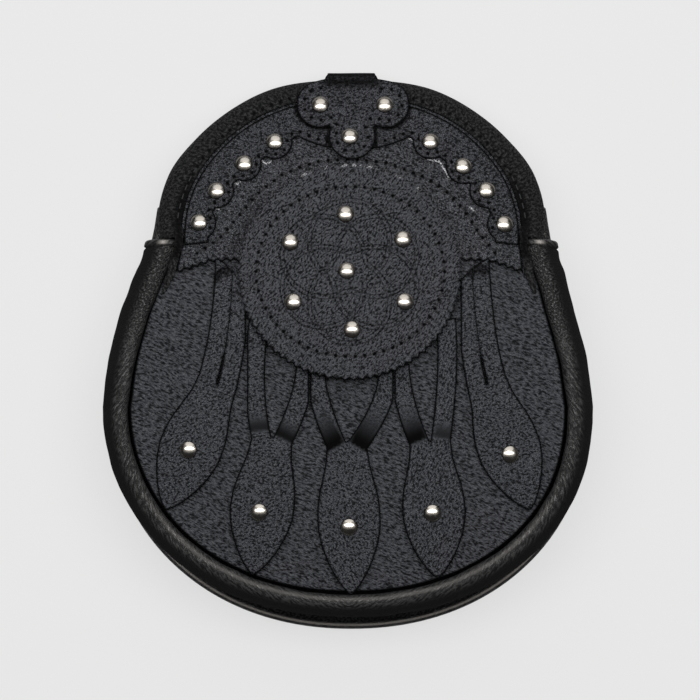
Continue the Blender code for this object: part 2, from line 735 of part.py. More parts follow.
def stud_seat(carrier, x, y):
    """Height of the leather that a stud is set in."""
    if carrier == "trefoil":
        return strap_faces(x, y)[1]
    tops = {
        "yoke": YOKE_BED + YOKE_WALL,
        "roundel": roundel_bed(x, y) + ROUNDEL_WALL,
        "leaf": BED + LEAF_WALL,
    }
    return x, y, front(x, y) + tops[carrier]


def make_studs():
    counts = {}
    for carrier, x, y in STUDS:
        counts[carrier] = counts.get(carrier, 0) + 1
        x, y = x * MM, y * MM
        step = STUD_RADIUS
        seat = Vector(stud_seat(carrier, x, y))
        across = Vector(stud_seat(carrier, x + step, y)) - Vector(stud_seat(carrier, x - step, y))
        up = Vector(stud_seat(carrier, x, y + step)) - Vector(stud_seat(carrier, x, y - step))
        normal = across.cross(up).normalized()
        form = bmesh.new()
        bmesh.ops.create_circle(form, cap_ends=True, radius=STUD_RADIUS, segments=12)
        ring = list(form.edges)
        for share, height in STUD_PROFILE[1:-1]:
            grown = bmesh.ops.extrude_edge_only(form, edges=ring)["geom"]
            ring = [part for part in grown if isinstance(part, bmesh.types.BMEdge)]
            ring = [edge for edge in ring if len(edge.link_faces) == 1]
            for vert in {vert for edge in ring for vert in edge.verts}:
                flat = Vector((vert.co.x, vert.co.y, 0)).normalized() * share * STUD_RADIUS
                vert.co = (flat.x, flat.y, height * MM)
        peak = form.verts.new((0, 0, STUD_PROFILE[-1][1] * MM))
        for edge in ring:
            form.faces.new((*edge.verts, peak))
        obj = solid(f"stud_{carrier}_{counts[carrier]}", form, "nickel")
        obj.rotation_mode = "QUATERNION"
        obj.rotation_quaternion = normal.to_track_quat("Z", "Y")
        obj.location = seat + normal * GAP


def main():
    for obj in list(bpy.data.objects):
        bpy.data.objects.remove(obj)
    make_back_panel()
    make_back_piping()
    make_front_piping()
    make_gusset()
    make_front_panel()
    make_flap()
    make_top_band()
    make_yoke()
    make_roundel()
    make_trefoil_strap()
    make_snap()
    make_leaves()
    make_studs()


main()
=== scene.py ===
"""The looks of a black leather day sporran with studs and leaf tassels, lying on its back.

The tables hold millimetres and the meshes metres. +Z comes out of the front, +Y points to the top.
The sections follow the pouch as it is put together, from its back to its studs.
"""

import math

import bpy
import numpy as np
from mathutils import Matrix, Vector, noise
from mathutils.geometry import delaunay_2d_cdt


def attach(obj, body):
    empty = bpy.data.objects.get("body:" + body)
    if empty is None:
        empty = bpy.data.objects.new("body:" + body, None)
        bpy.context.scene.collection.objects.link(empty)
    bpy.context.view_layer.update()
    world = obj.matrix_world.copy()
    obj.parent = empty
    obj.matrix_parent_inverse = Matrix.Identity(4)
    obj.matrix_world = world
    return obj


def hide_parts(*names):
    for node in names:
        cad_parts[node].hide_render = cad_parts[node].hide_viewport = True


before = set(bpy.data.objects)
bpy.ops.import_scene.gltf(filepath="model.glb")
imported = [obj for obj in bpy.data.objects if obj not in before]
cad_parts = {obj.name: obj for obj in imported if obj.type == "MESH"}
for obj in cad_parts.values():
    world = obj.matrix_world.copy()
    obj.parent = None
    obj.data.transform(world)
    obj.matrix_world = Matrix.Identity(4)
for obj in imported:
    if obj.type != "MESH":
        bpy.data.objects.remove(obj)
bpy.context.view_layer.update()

# ---------------------------------------------------------------------------------------------
# Back panel: one plain piece of smooth leather, cut to the pouch's outline and sewn into the back
# seam. It lies a little inside the seam's roll, and the hanging loop is sewn on it.

MM = 0.001
GAP = 0.3 * MM
BACK_HALF_WIDTH = 88.1 * MM
BACK_REACH = 81.1 * MM
BACK_ROLL_RADIUS = 2.5 * MM
BACK_ROLL_TOP = 53.0 * MM
BACK_TUCK = 4.6 * MM
BACK_PANEL_LOW = 1.9 * MM
PANEL_WALL = 2.0 * MM
WIDEST = -20.7 * MM
SQUARENESS = 2.13
ARC_CENTRE = np.array((1.0, 45.0)) * MM
# Height, shift of the pouch's middle line to the right
MIDDLE_LINE = (
    (-100, 0.9), (-60, 0.5), (-20, -0.4), (10, -0.4), (30, 0.6), (45, 1.0), (101, 1.0),
)
# Height, half width of the back seam's outer side
BACK_SIDE = ((-20.7, 88.1), (5.5, 82.8), (29, 75.6), (43, 72.3), (54, 70.6))
# Angle round the top arc, band's outer radius, band's inner radius
BAND_ARC = (
    (-4, 70.0, 61.9), (4, 70.4, 61.2), (15, 69.3, 59.6), (30, 64.9, 56.3), (45, 61.0, 53.1),
    (60, 57.9, 50.3), (75, 54.8, 48.0), (90, 52.8, 46.5),
)
# Depths inside a cut edge at which the leather's mesh has a row of points
EDGE_ROWS = (0.1 * MM, 0.25 * MM, 0.5 * MM, 0.9 * MM)
HOLE_RADIUS = 0.85 * MM
HOLE_DEPTH = 0.75 * MM
# Steps between the points of a cut edge and of a crease
CUT_STEP = 0.8 * MM
CREASE_STEP = 0.7 * MM
# Shares of a hole's radius: its flat bottom, its rim, and how far other points keep away
HOLE_BOTTOM, HOLE_RIM, HOLE_CLEAR = 0.5, 1.05, 1.45
# Share of its depth that a row in the edge keeps from it, share of a cell between grid rows
ROW_CLEAR, ROW_SHARE = 0.93, 0.87
# Points measured at a time, to save memory
BATCH = 400
# Depths inside a cut edge between which its dark line fades: painted shade, partly the dyed edge
EDGE_SHADE_LINE = (0.3 * MM, 0.85 * MM)
# Near black painted along cut edges: painted shade beside them, partly their dyed edge
EDGE_SHADE_BLACK = (0.0005, 0.0005, 0.0006)
# Black painted in holes, creases and shaded parts: painted shade
SHADE_BLACK = (0.0005, 0.0005, 0.0005)
RUBBED_GRAIN = (0.26, 0.26, 0.27)
# Embossed grain: level at which a ridge begins, share of its pores, heights from valley to crest,
# level of grain that is drawn smooth, and how much duller its valleys are
RIDGE_LEVEL = 0.44
PORE_HEIGHT = 1.1
HIDE_RIDGES = (0.74, 1.64)
DRAWN_LEVEL = 0.6
VALLEY_DULLNESS = 0.35


def smooth(table, at, column=1):
    """A column of a table of sections, read smoothly between its rows."""
    keys = np.array([row[0] for row in table], float)
    values = np.array([row[column] for row in table], float)
    at = np.clip(at, keys[0], keys[-1])
    spans = np.diff(keys)
    steps = np.diff(values) / spans
    product = steps[1:] * steps[:-1]
    total = np.where(product > 0, steps[1:] + steps[:-1], 1)
    slopes = np.concatenate([steps[:1], np.where(product > 0, 2 * product / total, 0), steps[-1:]])
    i = np.clip(np.searchsorted(keys, at, side="right") - 1, 0, len(keys) - 2)
    t = (at - keys[i]) / spans[i]
    return (
        values[i] * (1 + 2 * t) * (1 - t) ** 2
        + values[i + 1] * t * t * (3 - 2 * t)
        + spans[i] * t * (1 - t) * (slopes[i] * (1 - t) - slopes[i + 1] * t)
    )


def ease(low, high, at):
    """0 below low, 1 above high, and a soft step between them."""
    t = np.clip((at - low) / (high - low), 0, 1)
    return t * t * (3 - 2 * t)


def read(table, at, column=1):
    """A length from a table that is written in millimetres."""
    return smooth(table, np.asarray(at) / MM, column) * MM


def middle(y):
    return read(MIDDLE_LINE, y)


def seam(side, half_width, reach, inset, top, steps=90):
    """Points down one side, round the bottom and up the other, drawn in by an inset."""
    down = np.linspace(top, WIDEST, steps, endpoint=False)
    turn = np.linspace(math.pi, 2 * math.pi, 3 * steps)
    across = np.sign(np.cos(turn)) * np.abs(np.cos(turn)) ** (2 / SQUARENESS)
    low = WIDEST - np.abs(np.sin(turn)) ** (2 / SQUARENESS) * (reach - inset)
    left = np.column_stack([middle(down) - read(side, down) + inset, down])
    bottom = np.column_stack([middle(low) + across * (half_width - inset), low])
    right = np.column_stack([middle(down) + read(side, down) - inset, down])[::-1]
    return np.vstack([left, bottom, right])


def back_seam(inset):
    return seam(BACK_SIDE, BACK_HALF_WIDTH, BACK_REACH, inset, BACK_ROLL_TOP)


def arc_point(angle, radius):
    """A point on the top arc, whose angles run from its right end over the top."""
    turn = np.radians(angle)
    return ARC_CENTRE + np.stack([radius * np.cos(turn), radius * np.sin(turn)], axis=-1)


def band_radius(angle, column):
    """Band's outer (1) or inner (2) radius, the same on both sides of the top."""
    return smooth(BAND_ARC, 90 - np.abs(90 - np.asarray(angle, float)), column) * MM


def round_points(turn):
    """Points on a circle of radius 1."""
    return np.column_stack([np.cos(turn), np.sin(turn)])


def lengths_of(line):
    """The length along a line up to each of its points."""
    return np.append(0, np.cumsum(np.linalg.norm(np.diff(line, axis=0), axis=1)))


def picked(line, lengths, at):
    """The points of a line at some of its lengths."""
    return np.column_stack([np.interp(at, lengths, column) for column in line.T])


def along(line, pitch, closed=False):
    """Points spaced evenly along a line, about pitch apart."""
    line = np.array(line, float)
    if closed:
        line = np.vstack([line, line[:1]])
    lengths = lengths_of(line)
    count = max(round(lengths[-1] / pitch), 1) + 1
    points = picked(line, lengths, np.linspace(0, lengths[-1], count))
    return points[:-1] if closed else points


def filled(line, step, closed=True):
    """The same corners, with points between them wherever a run is longer than step."""
    ends = np.roll(line, -1, axis=0) if closed else line[1:]
    points = []
    for a, b in zip(line, ends):
        parts = max(math.ceil(np.linalg.norm(b - a) / step - 1e-6), 1)
        points.extend(a + (b - a) * i / parts for i in range(parts))
    return np.array(points if closed else [*points, line[-1]])


def distance(points, line, closed=True):
    """How far each point lies from a line of straight runs."""
    starts = line if closed else line[:-1]
    runs = (np.roll(line, -1, axis=0) if closed else line[1:]) - starts
    squares = np.maximum((runs**2).sum(axis=1), 1e-18)
    found = []
    for some in np.array_split(points, len(points) // BATCH + 1):
        offset = some[:, None] - starts
        share = np.clip((offset * runs).sum(axis=2) / squares, 0, 1)
        found.append(np.linalg.norm(offset - share[..., None] * runs, axis=2).min(axis=1))
    return np.concatenate(found)


def within(points, outline):
    """Which points lie inside a closed outline."""
    found = []
    ends = np.roll(outline, -1, axis=0)
    rise = ends[:, 1] - outline[:, 1]
    slope = (ends[:, 0] - outline[:, 0]) / np.where(rise == 0, 1, rise)
    for some in np.array_split(points, len(points) // BATCH + 1):
        x, y = some[:, :1], some[:, 1:]
        crossed = (outline[:, 1] > y) != (ends[:, 1] > y)
        on_left = x < outline[:, 0] + (y - outline[:, 1]) * slope
        found.append((crossed & on_left).sum(axis=1) % 2 == 1)
    return np.concatenate(found)


def beside(line, offset, closed):
    """A line moved to its left by an offset."""
    ahead = np.gradient(line, axis=0)
    if closed:
        ahead = np.roll(line, -1, axis=0) - np.roll(line, 1, axis=0)
    ahead = ahead / np.linalg.norm(ahead, axis=1)[:, None]
    return line + offset * np.column_stack([-ahead[:, 1], ahead[:, 0]])


def away_from(points, spots):
    """How far each point lies from the nearest of some spots."""
    return np.min([np.hypot(*(points - spot).T) for spot in spots], axis=0)


def prick(points, holes):
    """1 in the bottom of each pricked stitch and 0 outside all of them."""
    reach = away_from(points, holes)
    return 1 - ease(HOLE_BOTTOM * HOLE_RADIUS, HOLE_RIM * HOLE_RADIUS, reach)


def in_scene(name, data):
    """An object with a mesh, a light or a camera, linked to the scene."""
    obj = bpy.data.objects.new(name, data)
    bpy.context.scene.collection.objects.link(obj)
    return obj


def piece(name, points, faces, cut, material, **weights):
    """A mesh object with a UV map of flat cutting coordinates, and weights for its finish."""
    mesh = bpy.data.meshes.new(name)
    mesh.from_pydata(points.tolist(), [], faces)
    mesh.uv_layers.new(name="cut")
    mesh.uv_layers["cut"].uv.foreach_set("vector", np.ravel(cut))
    for label, values in weights.items():
        mesh.attributes.new(label, "FLOAT", "POINT").data.foreach_set("value", values)
    mesh.shade_smooth()
    mesh.materials.append(material)
    return in_scene(name, mesh)


def cut_points(outline, cell, holes, creases):
    """Points for a sheet's mesh: rows in its edge, a grid, rows by creases, rings in holes."""
    loose = []
    for depth in EDGE_ROWS:
        row = beside(outline, depth, closed=True)
        loose.append(row[(distance(row, outline) > ROW_CLEAR * depth) & within(row, outline)])
    low, high = outline.min(axis=0), outline.max(axis=0)
    rows = np.arange(low[1] + cell / 2, high[1], cell * ROW_SHARE)
    grid = [
        (x, y) for row, y in enumerate(rows)
        for x in np.arange(low[0] + cell / 2 * (1 + row % 2), high[0], cell)
    ]
    for line, _, half, _ in creases:
        line = filled(line, CREASE_STEP, closed=False)
        for share in (-1, -0.5, 0, 0.5, 1):
            grid.extend(beside(line, share * half, closed=False))
    grid = np.array(grid)
    grid = grid[within(grid, outline)]
    grid = grid[distance(grid, outline) > EDGE_ROWS[-1] + 0.3 * min(cell, 1 * MM)]
    loose = np.vstack([*loose, grid])
    if len(holes):
        loose = loose[away_from(loose, holes) > HOLE_CLEAR * HOLE_RADIUS]
        dots = [holes]
        for share in (0.35, 0.7, HOLE_RIM):
            for turn in np.arange(8) * math.pi / 4:
                dots.append(holes + share * HOLE_RADIUS * np.array((math.cos(turn), math.sin(turn))))
        dots = np.vstack(dots)
        loose = np.vstack([loose, dots[within(dots, outline)]])
    return loose


def nowhere(points):
    return np.zeros(len(points))


def everywhere(points):
    return np.ones(len(points))


def leather(name, outline, place, cell, material, holes=(), creases=(), rounding=0.4 * MM,
            turn=0.0, relief=nowhere, wear=nowhere, drawn=None, outlined=everywhere):
    """Leather cut to a flat outline, laid by place, rounded at its edge and pricked at its holes.

    creases are rows of a line, its depth, its half width and how dark its painted shade is, pressed
    into the face. relief gives how far the face is raised, wear how far it is rubbed, and outlined how
    dark the painted shade line at the cut edge is at each point. drawn gives how far it is gathered,
    how dark its painted shade is and how deep.
    """
    outline = filled(np.array(outline), CUT_STEP)
    ends = np.roll(outline, -1, axis=0)
    if (outline[:, 0] * ends[:, 1] - ends[:, 0] * outline[:, 1]).sum() < 0:
        outline = outline[::-1]
    holes = np.array(holes).reshape(-1, 2)
    given = [Vector(point) for point in (*outline, *cut_points(outline, cell, holes, creases))]
    points, _, triangles, *_ = delaunay_2d_cdt(given, [], [list(range(len(outline)))], 1, 1e-7)
    points = np.array([tuple(point) for point in points])
    inside = distance(points, outline)
    under, over = place(points)
    thickness = np.linalg.norm(over - under, axis=1)[:, None]
    out = (over - under) / thickness
    curve = np.clip(1 - inside / rounding, 0, 1)
    sunk = rounding * (1 - np.sqrt(1 - curve**2)) * 0.8
    pricked = gathered = nowhere(points)
    if len(holes):
        pricked = prick(points, holes)
        sunk = sunk + np.minimum(HOLE_DEPTH, 0.8 * thickness[:, 0]) * pricked
    # A crease's darkness joins pricked as painted shade
    for line, depth, half, shade in creases:
        pressed = 1 - ease(0, half, distance(points, line, closed=False))
        sunk = sunk + depth * pressed
        pricked = np.maximum(pricked, shade * pressed)
    sunk = sunk - relief(points)
    # The dark at the gathered feet of arms is painted shade as well
    if drawn is not None:
        gathered, dark, deep = drawn(points)
        pricked = np.maximum(pricked, dark)
        sunk = sunk + deep
    over = over - out * sunk[:, None]
    under = under + out * (0.4 * rounding * curve**2)[:, None]
    count = len(points)
    edges = {}
    for corners in triangles:
        for a, b in zip(corners, (*corners[1:], corners[0])):
            if edges.pop((b, a), None) is None:
                edges[(a, b)] = True
    faces = [tuple(corners) for corners in triangles]
    faces += [tuple(count + i for i in reversed(corners)) for corners in triangles]
    faces += [(b, a, count + a, count + b) for a, b in edges]
    angle = math.radians(turn)
    spin = np.array(((math.cos(angle), math.sin(angle)), (-math.sin(angle), math.cos(angle))))
    cut = (points @ spin.T)[[corner % count for face in faces for corner in face]]
    # rim is the painted shade line just inside the cut edge
    rim = (1 - ease(*EDGE_SHADE_LINE, inside)) * outlined(points)
    return piece(
        name, np.vstack([over, under]), faces, cut, material, edge=np.tile(rim, 2),
        hole=np.append(pricked, np.zeros(count)), worn=np.tile(wear(points), 2),
        drawn=np.append(gathered, np.zeros(count)),
    )


def wired(tree, kind, *links, **values):
    """A new node with some of its inputs set, and its other inputs linked from sockets."""
    node = tree.nodes.new(kind)
    for name, value in values.items():
        setattr(node, name, value)
    for socket, source in links:
        if isinstance(source, bpy.types.NodeSocket):
            tree.links.new(source, node.inputs[socket])
        else:
            node.inputs[socket].default_value = source
    return node


class Finish:
    """A material, wired up from its patterns to its shader."""

    def __init__(self, name):
        self.material = bpy.data.materials.new(name)
        self.material.use_nodes = True
        self.shader = self.material.node_tree.nodes["Principled BSDF"]

    def add(self, kind, *links, **values):
        return wired(self.material.node_tree, kind, *links, **values).outputs

    def set(self, **sockets):
        """Constants of the shader, with underlines for the spaces in their names."""
        for name, value in sockets.items():
            self.shader.inputs[name.replace("_", " ")].default_value = value

    def feed(self, socket, source):
        self.material.node_tree.links.new(source, self.shader.inputs[socket])

    def cut(self):
        return self.add("ShaderNodeUVMap", uv_map="cut")["UV"]

    def place(self):
        return self.add("ShaderNodeTexCoord")["Object"]

    def weight(self, name):
        return self.add("ShaderNodeAttribute", attribute_name=name)["Fac"]

    def clouds(self, place_on, scale, detail, roughness=0.5, out="Fac"):
        """Random clouds, scale of them to a length."""
        return self.add(
            "ShaderNodeTexNoise", ("Vector", place_on), ("Scale", scale), ("Detail", detail),
            ("Roughness", roughness),
        )[out]

    def swayed(self, place_on, scale, reach):
        """The same places moved by clouds, so that straight grain sways."""
        return self.add(
            "ShaderNodeVectorMath", (0, self.clouds(place_on, scale, 1.0, out="Color")),
            (1, reach), (2, place_on), operation="MULTIPLY_ADD",
        )["Vector"]

    def ramp(self, value, low, high, start=0.0, end=1.0, kind="LINEAR"):
        """start below low, end above high, and a step between them."""
        return self.add(
            "ShaderNodeMapRange", ("Value", value), ("From Min", low), ("From Max", high),
            ("To Min", start), ("To Max", end), interpolation_type=kind,
        )["Result"]

    def maths(self, operation, *values, clamp=False):
        return self.add("ShaderNodeMath", *enumerate(values), operation=operation, use_clamp=clamp)[0]

    def between(self, share, low, high):
        return self.add("ShaderNodeMix", ("Factor", share), (2, low), (3, high))[0]

    def blend(self, share, under, over):
        """A colour between two others."""
        under, over = (c if isinstance(c, bpy.types.NodeSocket) else (*c, 1) for c in (under, over))
        return self.add(
            "ShaderNodeMix", ("Factor", share), (6, under), (7, over), data_type="RGBA",
        )[2]

    def emboss(self, height, depth, strength=1.0):
        bump = self.add(
            "ShaderNodeBump", ("Height", height), ("Distance", depth), ("Strength", strength),
        )
        self.feed("Normal", bump["Normal"])


def hide(name, valley, crest, pitch, stretch, depth, roughness, sharp=0.17, cells=0.3, sway=1.5):
    """Embossed leather: ridges of grain between dark valleys, over fine cells, with rubbed flecks.

    valley and crest are its colours, pitch is the height of a ridge in metres, stretch how much
    longer it is along the grain, and sharp how soon a ridge rises. Cut edges, holes and creases
    are painted near black: painted shade.
    """
    made = Finish(name)
    swayed = made.swayed(made.cut(), scale=0.12 / pitch, reach=(pitch * sway,) * 3)
    scaled = made.add(
        "ShaderNodeMapping", ("Vector", swayed),
        ("Scale", (1 / (pitch * stretch), 1 / pitch, 1 / pitch)), vector_type="POINT",
    )["Vector"]
    warped = made.swayed(scaled, scale=0.6, reach=(0.4, 0.9, 0.0))
    ridges = made.clouds(warped, scale=1.15, detail=1.5, roughness=0.45)
    crests = made.ramp(ridges, RIDGE_LEVEL - sharp, RIDGE_LEVEL + sharp)
    scales = made.add(
        "ShaderNodeTexVoronoi", ("Vector", warped), ("Scale", 1.5), feature="DISTANCE_TO_EDGE",
        voronoi_dimensions="2D",
    )["Distance"]
    gaps = made.ramp(scales, low=0, high=0.2, start=1 - cells, kind="SMOOTHSTEP")
    grain = made.maths("MULTIPLY", crests, gaps)
    pores = made.clouds(scaled, scale=2.1, detail=3.0)
    height = made.maths("MULTIPLY_ADD", pores, PORE_HEIGHT, grain)
    drawn = made.weight("drawn")
    made.emboss(height, depth, made.maths("SUBTRACT", 1.0, drawn, clamp=True))
    level = made.between(drawn, made.ramp(height, *HIDE_RIDGES), DRAWN_LEVEL)
    shade = made.blend(level, valley, crest)
    # Cut edges are painted near black: painted shade beside them, partly their dyed edge
    edge_shaded = made.blend(made.weight("edge"), shade, EDGE_SHADE_BLACK)
    flecks = made.ramp(pores, low=0.42, high=0.6)
    rubbed = made.maths("MULTIPLY", made.weight("worn"), flecks, clamp=True)
    worn = made.blend(rubbed, edge_shaded, RUBBED_GRAIN)
    # Holes, creases and the feet of arms are painted black here: painted shade
    made.feed("Base Color", made.blend(made.weight("hole"), worn, SHADE_BLACK))
    gloss = made.ramp(grain, 0, 1, min(roughness + VALLEY_DULLNESS, 1.0), roughness)
    pricked = made.maths("ADD", gloss, made.weight("hole"))
    made.feed("Roughness", made.maths("ADD", pricked, made.weight("edge"), clamp=True))
    made.set(Specular_IOR_Level=0.02)
    return made.material


def back_wall(points):
    """The back panel is flat."""
    low = np.full(len(points), BACK_PANEL_LOW)
    return np.column_stack([points, low]), np.column_stack([points, low + PANEL_WALL])


back_leather = hide(
    "plain_black_leather", valley=(0.004, 0.004, 0.005), crest=(0.0054, 0.0054, 0.006),
    pitch=1.1 * MM, stretch=1.2, depth=0.06 * MM, roughness=0.5,
)
back_angles = np.arange(12, 169, 1.0)
back_arc = arc_point(back_angles, band_radius(back_angles, 1) - BACK_TUCK)
back_line = np.vstack([back_seam(2 * BACK_ROLL_RADIUS + GAP), back_arc])
back_panel = leather("back_panel_leather", back_line, back_wall, 4 * MM, back_leather)
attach(back_panel, "root")
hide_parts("back_panel")

# ---------------------------------------------------------------------------------------------
# Back seam: a slim roll of soft leather, sewn round the back panel. The pouch rests on it, and
# below the front seam a pale line is painted along it: a painted highlight.

BACK_STEP = 1.6 * MM
BACK_TIP = 2 * MM
BACK_SIDES = 36
# Pale colour of the painted highlights on the rolls
NAPPA_SHEEN = (0.11, 0.102, 0.095)
# Heights of nappa's grain from the bottom of its wrinkles to their tops
NAPPA_WRINKLES = (0.2, 1.1)
WRINKLE_DULLNESS = 0.45
# A painted highlight lies on the side of the roll that leans out so far, in degrees, between these
# heights
BACK_SHEEN_LEAN = 24
BACK_SHEEN_LOW = (-78 * MM, -55 * MM)


def skin(name, rings, material, mirrored=False, **weights):
    """A closed mesh through rings of equal count, with a point at each end.

    Each weight has a value for each point of the rings: how much painted shade, sheen or crumple it
    has.
    A mirrored skin's grain slants one way on its first half and the other way on its second.
    """
    rings = np.asarray(rings)
    rows, columns = rings.shape[:2]
    steps = np.linalg.norm(np.diff(rings, axis=0), axis=2).mean(axis=1)
    lengths = np.append(0, np.cumsum(steps))
    if mirrored:
        lengths = np.abs(lengths - lengths[-1] / 2)
    girth = np.linalg.norm(np.roll(rings, -1, axis=1) - rings, axis=2).mean(axis=0)
    around = np.append(0, np.cumsum(girth))
    points = rings.reshape(-1, 3)
    faces = []
    cut = []
    for i in range(rows - 1):
        here, there = i * columns, (i + 1) * columns
        for j in range(columns):
            k = (j + 1) % columns
            faces.append((here + j, here + k, there + k, there + j))
            a, b, c, d = lengths[i], lengths[i + 1], around[j], around[j + 1]
            cut.extend(((a, c), (a, d), (b, d), (b, c)))
    for row, order in ((0, -1), (rows - 1, 1)):
        centre = len(points)
        points = np.vstack([points, rings[row].mean(axis=0)])
        for j in range(columns):
            k = (j + 1) % columns
            a, b = row * columns + j, row * columns + k
            faces.append((centre, a, b) if order > 0 else (centre, b, a))
            near = (lengths[row], around[j]), (lengths[row], around[j + 1])
            middle_of = (lengths[row], (around[j] + around[j + 1]) / 2)
            cut.extend((middle_of, *(near if order > 0 else near[::-1])))
    weights = {label: np.append(np.ravel(values), (0, 0)) for label, values in weights.items()}
    return piece(name, points, faces, cut, material, **weights)


def ring_turns(sides):
    return -np.linspace(0, 2 * math.pi, sides, endpoint=False) - math.pi / 2


def roll_rings(path, radii, sides):
    """Rings square to a path; radii has a value for each place along it and each side."""
    path = np.asarray(path)
    ahead = np.gradient(path, axis=0)
    ahead /= np.linalg.norm(ahead, axis=1)[:, None]
    aside = np.cross(ahead, (0, 0, 1))
    aside /= np.linalg.norm(aside, axis=1)[:, None]
    up = np.cross(aside, ahead)
    turn = ring_turns(sides)
    spokes = np.cos(turn)[:, None] * aside[:, None] + np.sin(turn)[:, None] * up[:, None]
    return path[:, None] + np.asarray(radii)[:, :, None] * spokes


def outward_tilt(sides):
    """How far each side of a roll's ring leans out from straight up, in degrees."""
    turn = ring_turns(sides)
    return np.degrees(np.arctan2(np.cos(turn), np.sin(turn)))


def nappa(name, valley, crest, roughness, slant, stretch, pitch, depth):
    """Soft smooth leather, drawn into fine slanting wrinkles where it is rolled or folded."""
    made = Finish(name)
    turned = made.add(
        "ShaderNodeMapping", ("Vector", made.cut()), ("Rotation", (0, 0, math.radians(slant))),
        ("Scale", (1 / pitch,) * 3),
    )["Vector"]
    swayed = made.swayed(turned, scale=0.15, reach=(1.4, 1.4, 0.0))
    drawn = made.add(
        "ShaderNodeVectorMath", (0, swayed), (1, (1 / stretch, 1, 1)), operation="MULTIPLY",
    )["Vector"]
    wrinkles = made.clouds(drawn, scale=1.0, detail=3.0, roughness=0.6)
    crests = made.ramp(wrinkles, low=0.38, high=0.62, kind="SMOOTHSTEP")
    pores = made.clouds(turned, scale=2.2, detail=2.0)
    streaked = made.maths("MULTIPLY_ADD", pores, 0.4, crests)
    dimples = made.clouds(turned, scale=1.0, detail=2.0)
    dimpled = made.ramp(dimples, low=0.4, high=0.62, end=1.5)
    height = made.between(made.weight("crumpled"), streaked, dimpled)
    made.emboss(height, depth)
    shade = made.blend(made.ramp(height, *NAPPA_WRINKLES), valley, crest)
    # Pale paint gives the rolls painted highlights, black paint gives them painted shade
    worn = made.blend(made.weight("worn"), shade, NAPPA_SHEEN)
    made.feed("Base Color", made.blend(made.weight("hole"), worn, SHADE_BLACK))
    gloss = made.ramp(height, *NAPPA_WRINKLES, roughness + WRINKLE_DULLNESS, roughness)
    made.feed("Roughness", made.maths("ADD", gloss, made.weight("hole"), clamp=True))
    return made


rolled = nappa(
    "rolled_nappa", valley=(0.0003, 0.0003, 0.0003), crest=(0.0112, 0.0111, 0.0109),
    roughness=0.2, slant=33, stretch=3.3, pitch=0.75 * MM, depth=0.2 * MM,
)
rolled.set(IOR=1.19)
rolled_leather = rolled.material
back_path = along(back_seam(BACK_ROLL_RADIUS), BACK_STEP)
back_path = np.column_stack([back_path, np.full(len(back_path), BACK_ROLL_RADIUS)])
back_ends = np.minimum(np.arange(len(back_path)), np.arange(len(back_path))[::-1]) * BACK_STEP
back_taper = 1 - np.clip(back_ends / BACK_TIP, 0.1, 1)
back_radii = BACK_ROLL_RADIUS * np.sqrt(np.clip(1 - back_taper**2, 0, 1))
back_rings = roll_rings(back_path, np.repeat(back_radii[:, None], BACK_SIDES, axis=1), BACK_SIDES)
# Where the pouch rests its foot, a pale line is painted along the roll: a painted highlight
back_lean = np.abs(outward_tilt(BACK_SIDES) - BACK_SHEEN_LEAN)
back_worn = (1 - ease(6, 13, back_lean)) * (1 - ease(*BACK_SHEEN_LOW, back_path[:, 1]))[:, None]
back_roll = skin("back_seam_roll", back_rings, rolled_leather, worn=back_worn)
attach(back_roll, "root")
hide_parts("back_piping")

# ---------------------------------------------------------------------------------------------
# Gusset: a strip of soft leather sewn between the back seam and the front seam, which gives the
# pouch its depth. It folds a little inwards and puckers.

HALF_WIDTH = 89.1 * MM
FRONT_REACH = 77.0 * MM
PIPING_RADIUS = 4.7 * MM
PIPING_LIFT = 1.5 * MM
PIPING_TOP = 40.2 * MM
GUSSET_WALL = 1.3 * MM
GUSSET_FOLD = 2.5 * MM
GUSSET_STEP = 2.2 * MM
GUSSET_STATIONS = 230
PUCKER = 0.35 * MM
# Height up the pouch, height of the front surface's rim above the floor
RIM = ((-101, 26.0), (-20, 25.0), (40, 21.0), (75, 16.0), (101, 11.0))
# Height, half width of the front seam's outer side
FRONT_SIDE = (
    (-20.7, 89.1), (-5, 86.9), (8, 83.6), (21, 79.6), (30, 76.7), (39, 75.1), (54, 71.6),
)
# Height, front edge of the gusset above the floor near and past the end of the front roll
GUSSET_TOP = ((37, 17.6), (40.6, 16.6), (43.5, 13.0), (53, 9.0))


def front_seam(inset, top=PIPING_TOP):
    return seam(FRONT_SIDE, HALF_WIDTH, FRONT_REACH, inset, top)


def wall(section, thickness):
    """Close an open section line into the ring of a wall, by setting it in to its left."""
    return np.vstack([section, beside(section, thickness, closed=False)[::-1]])


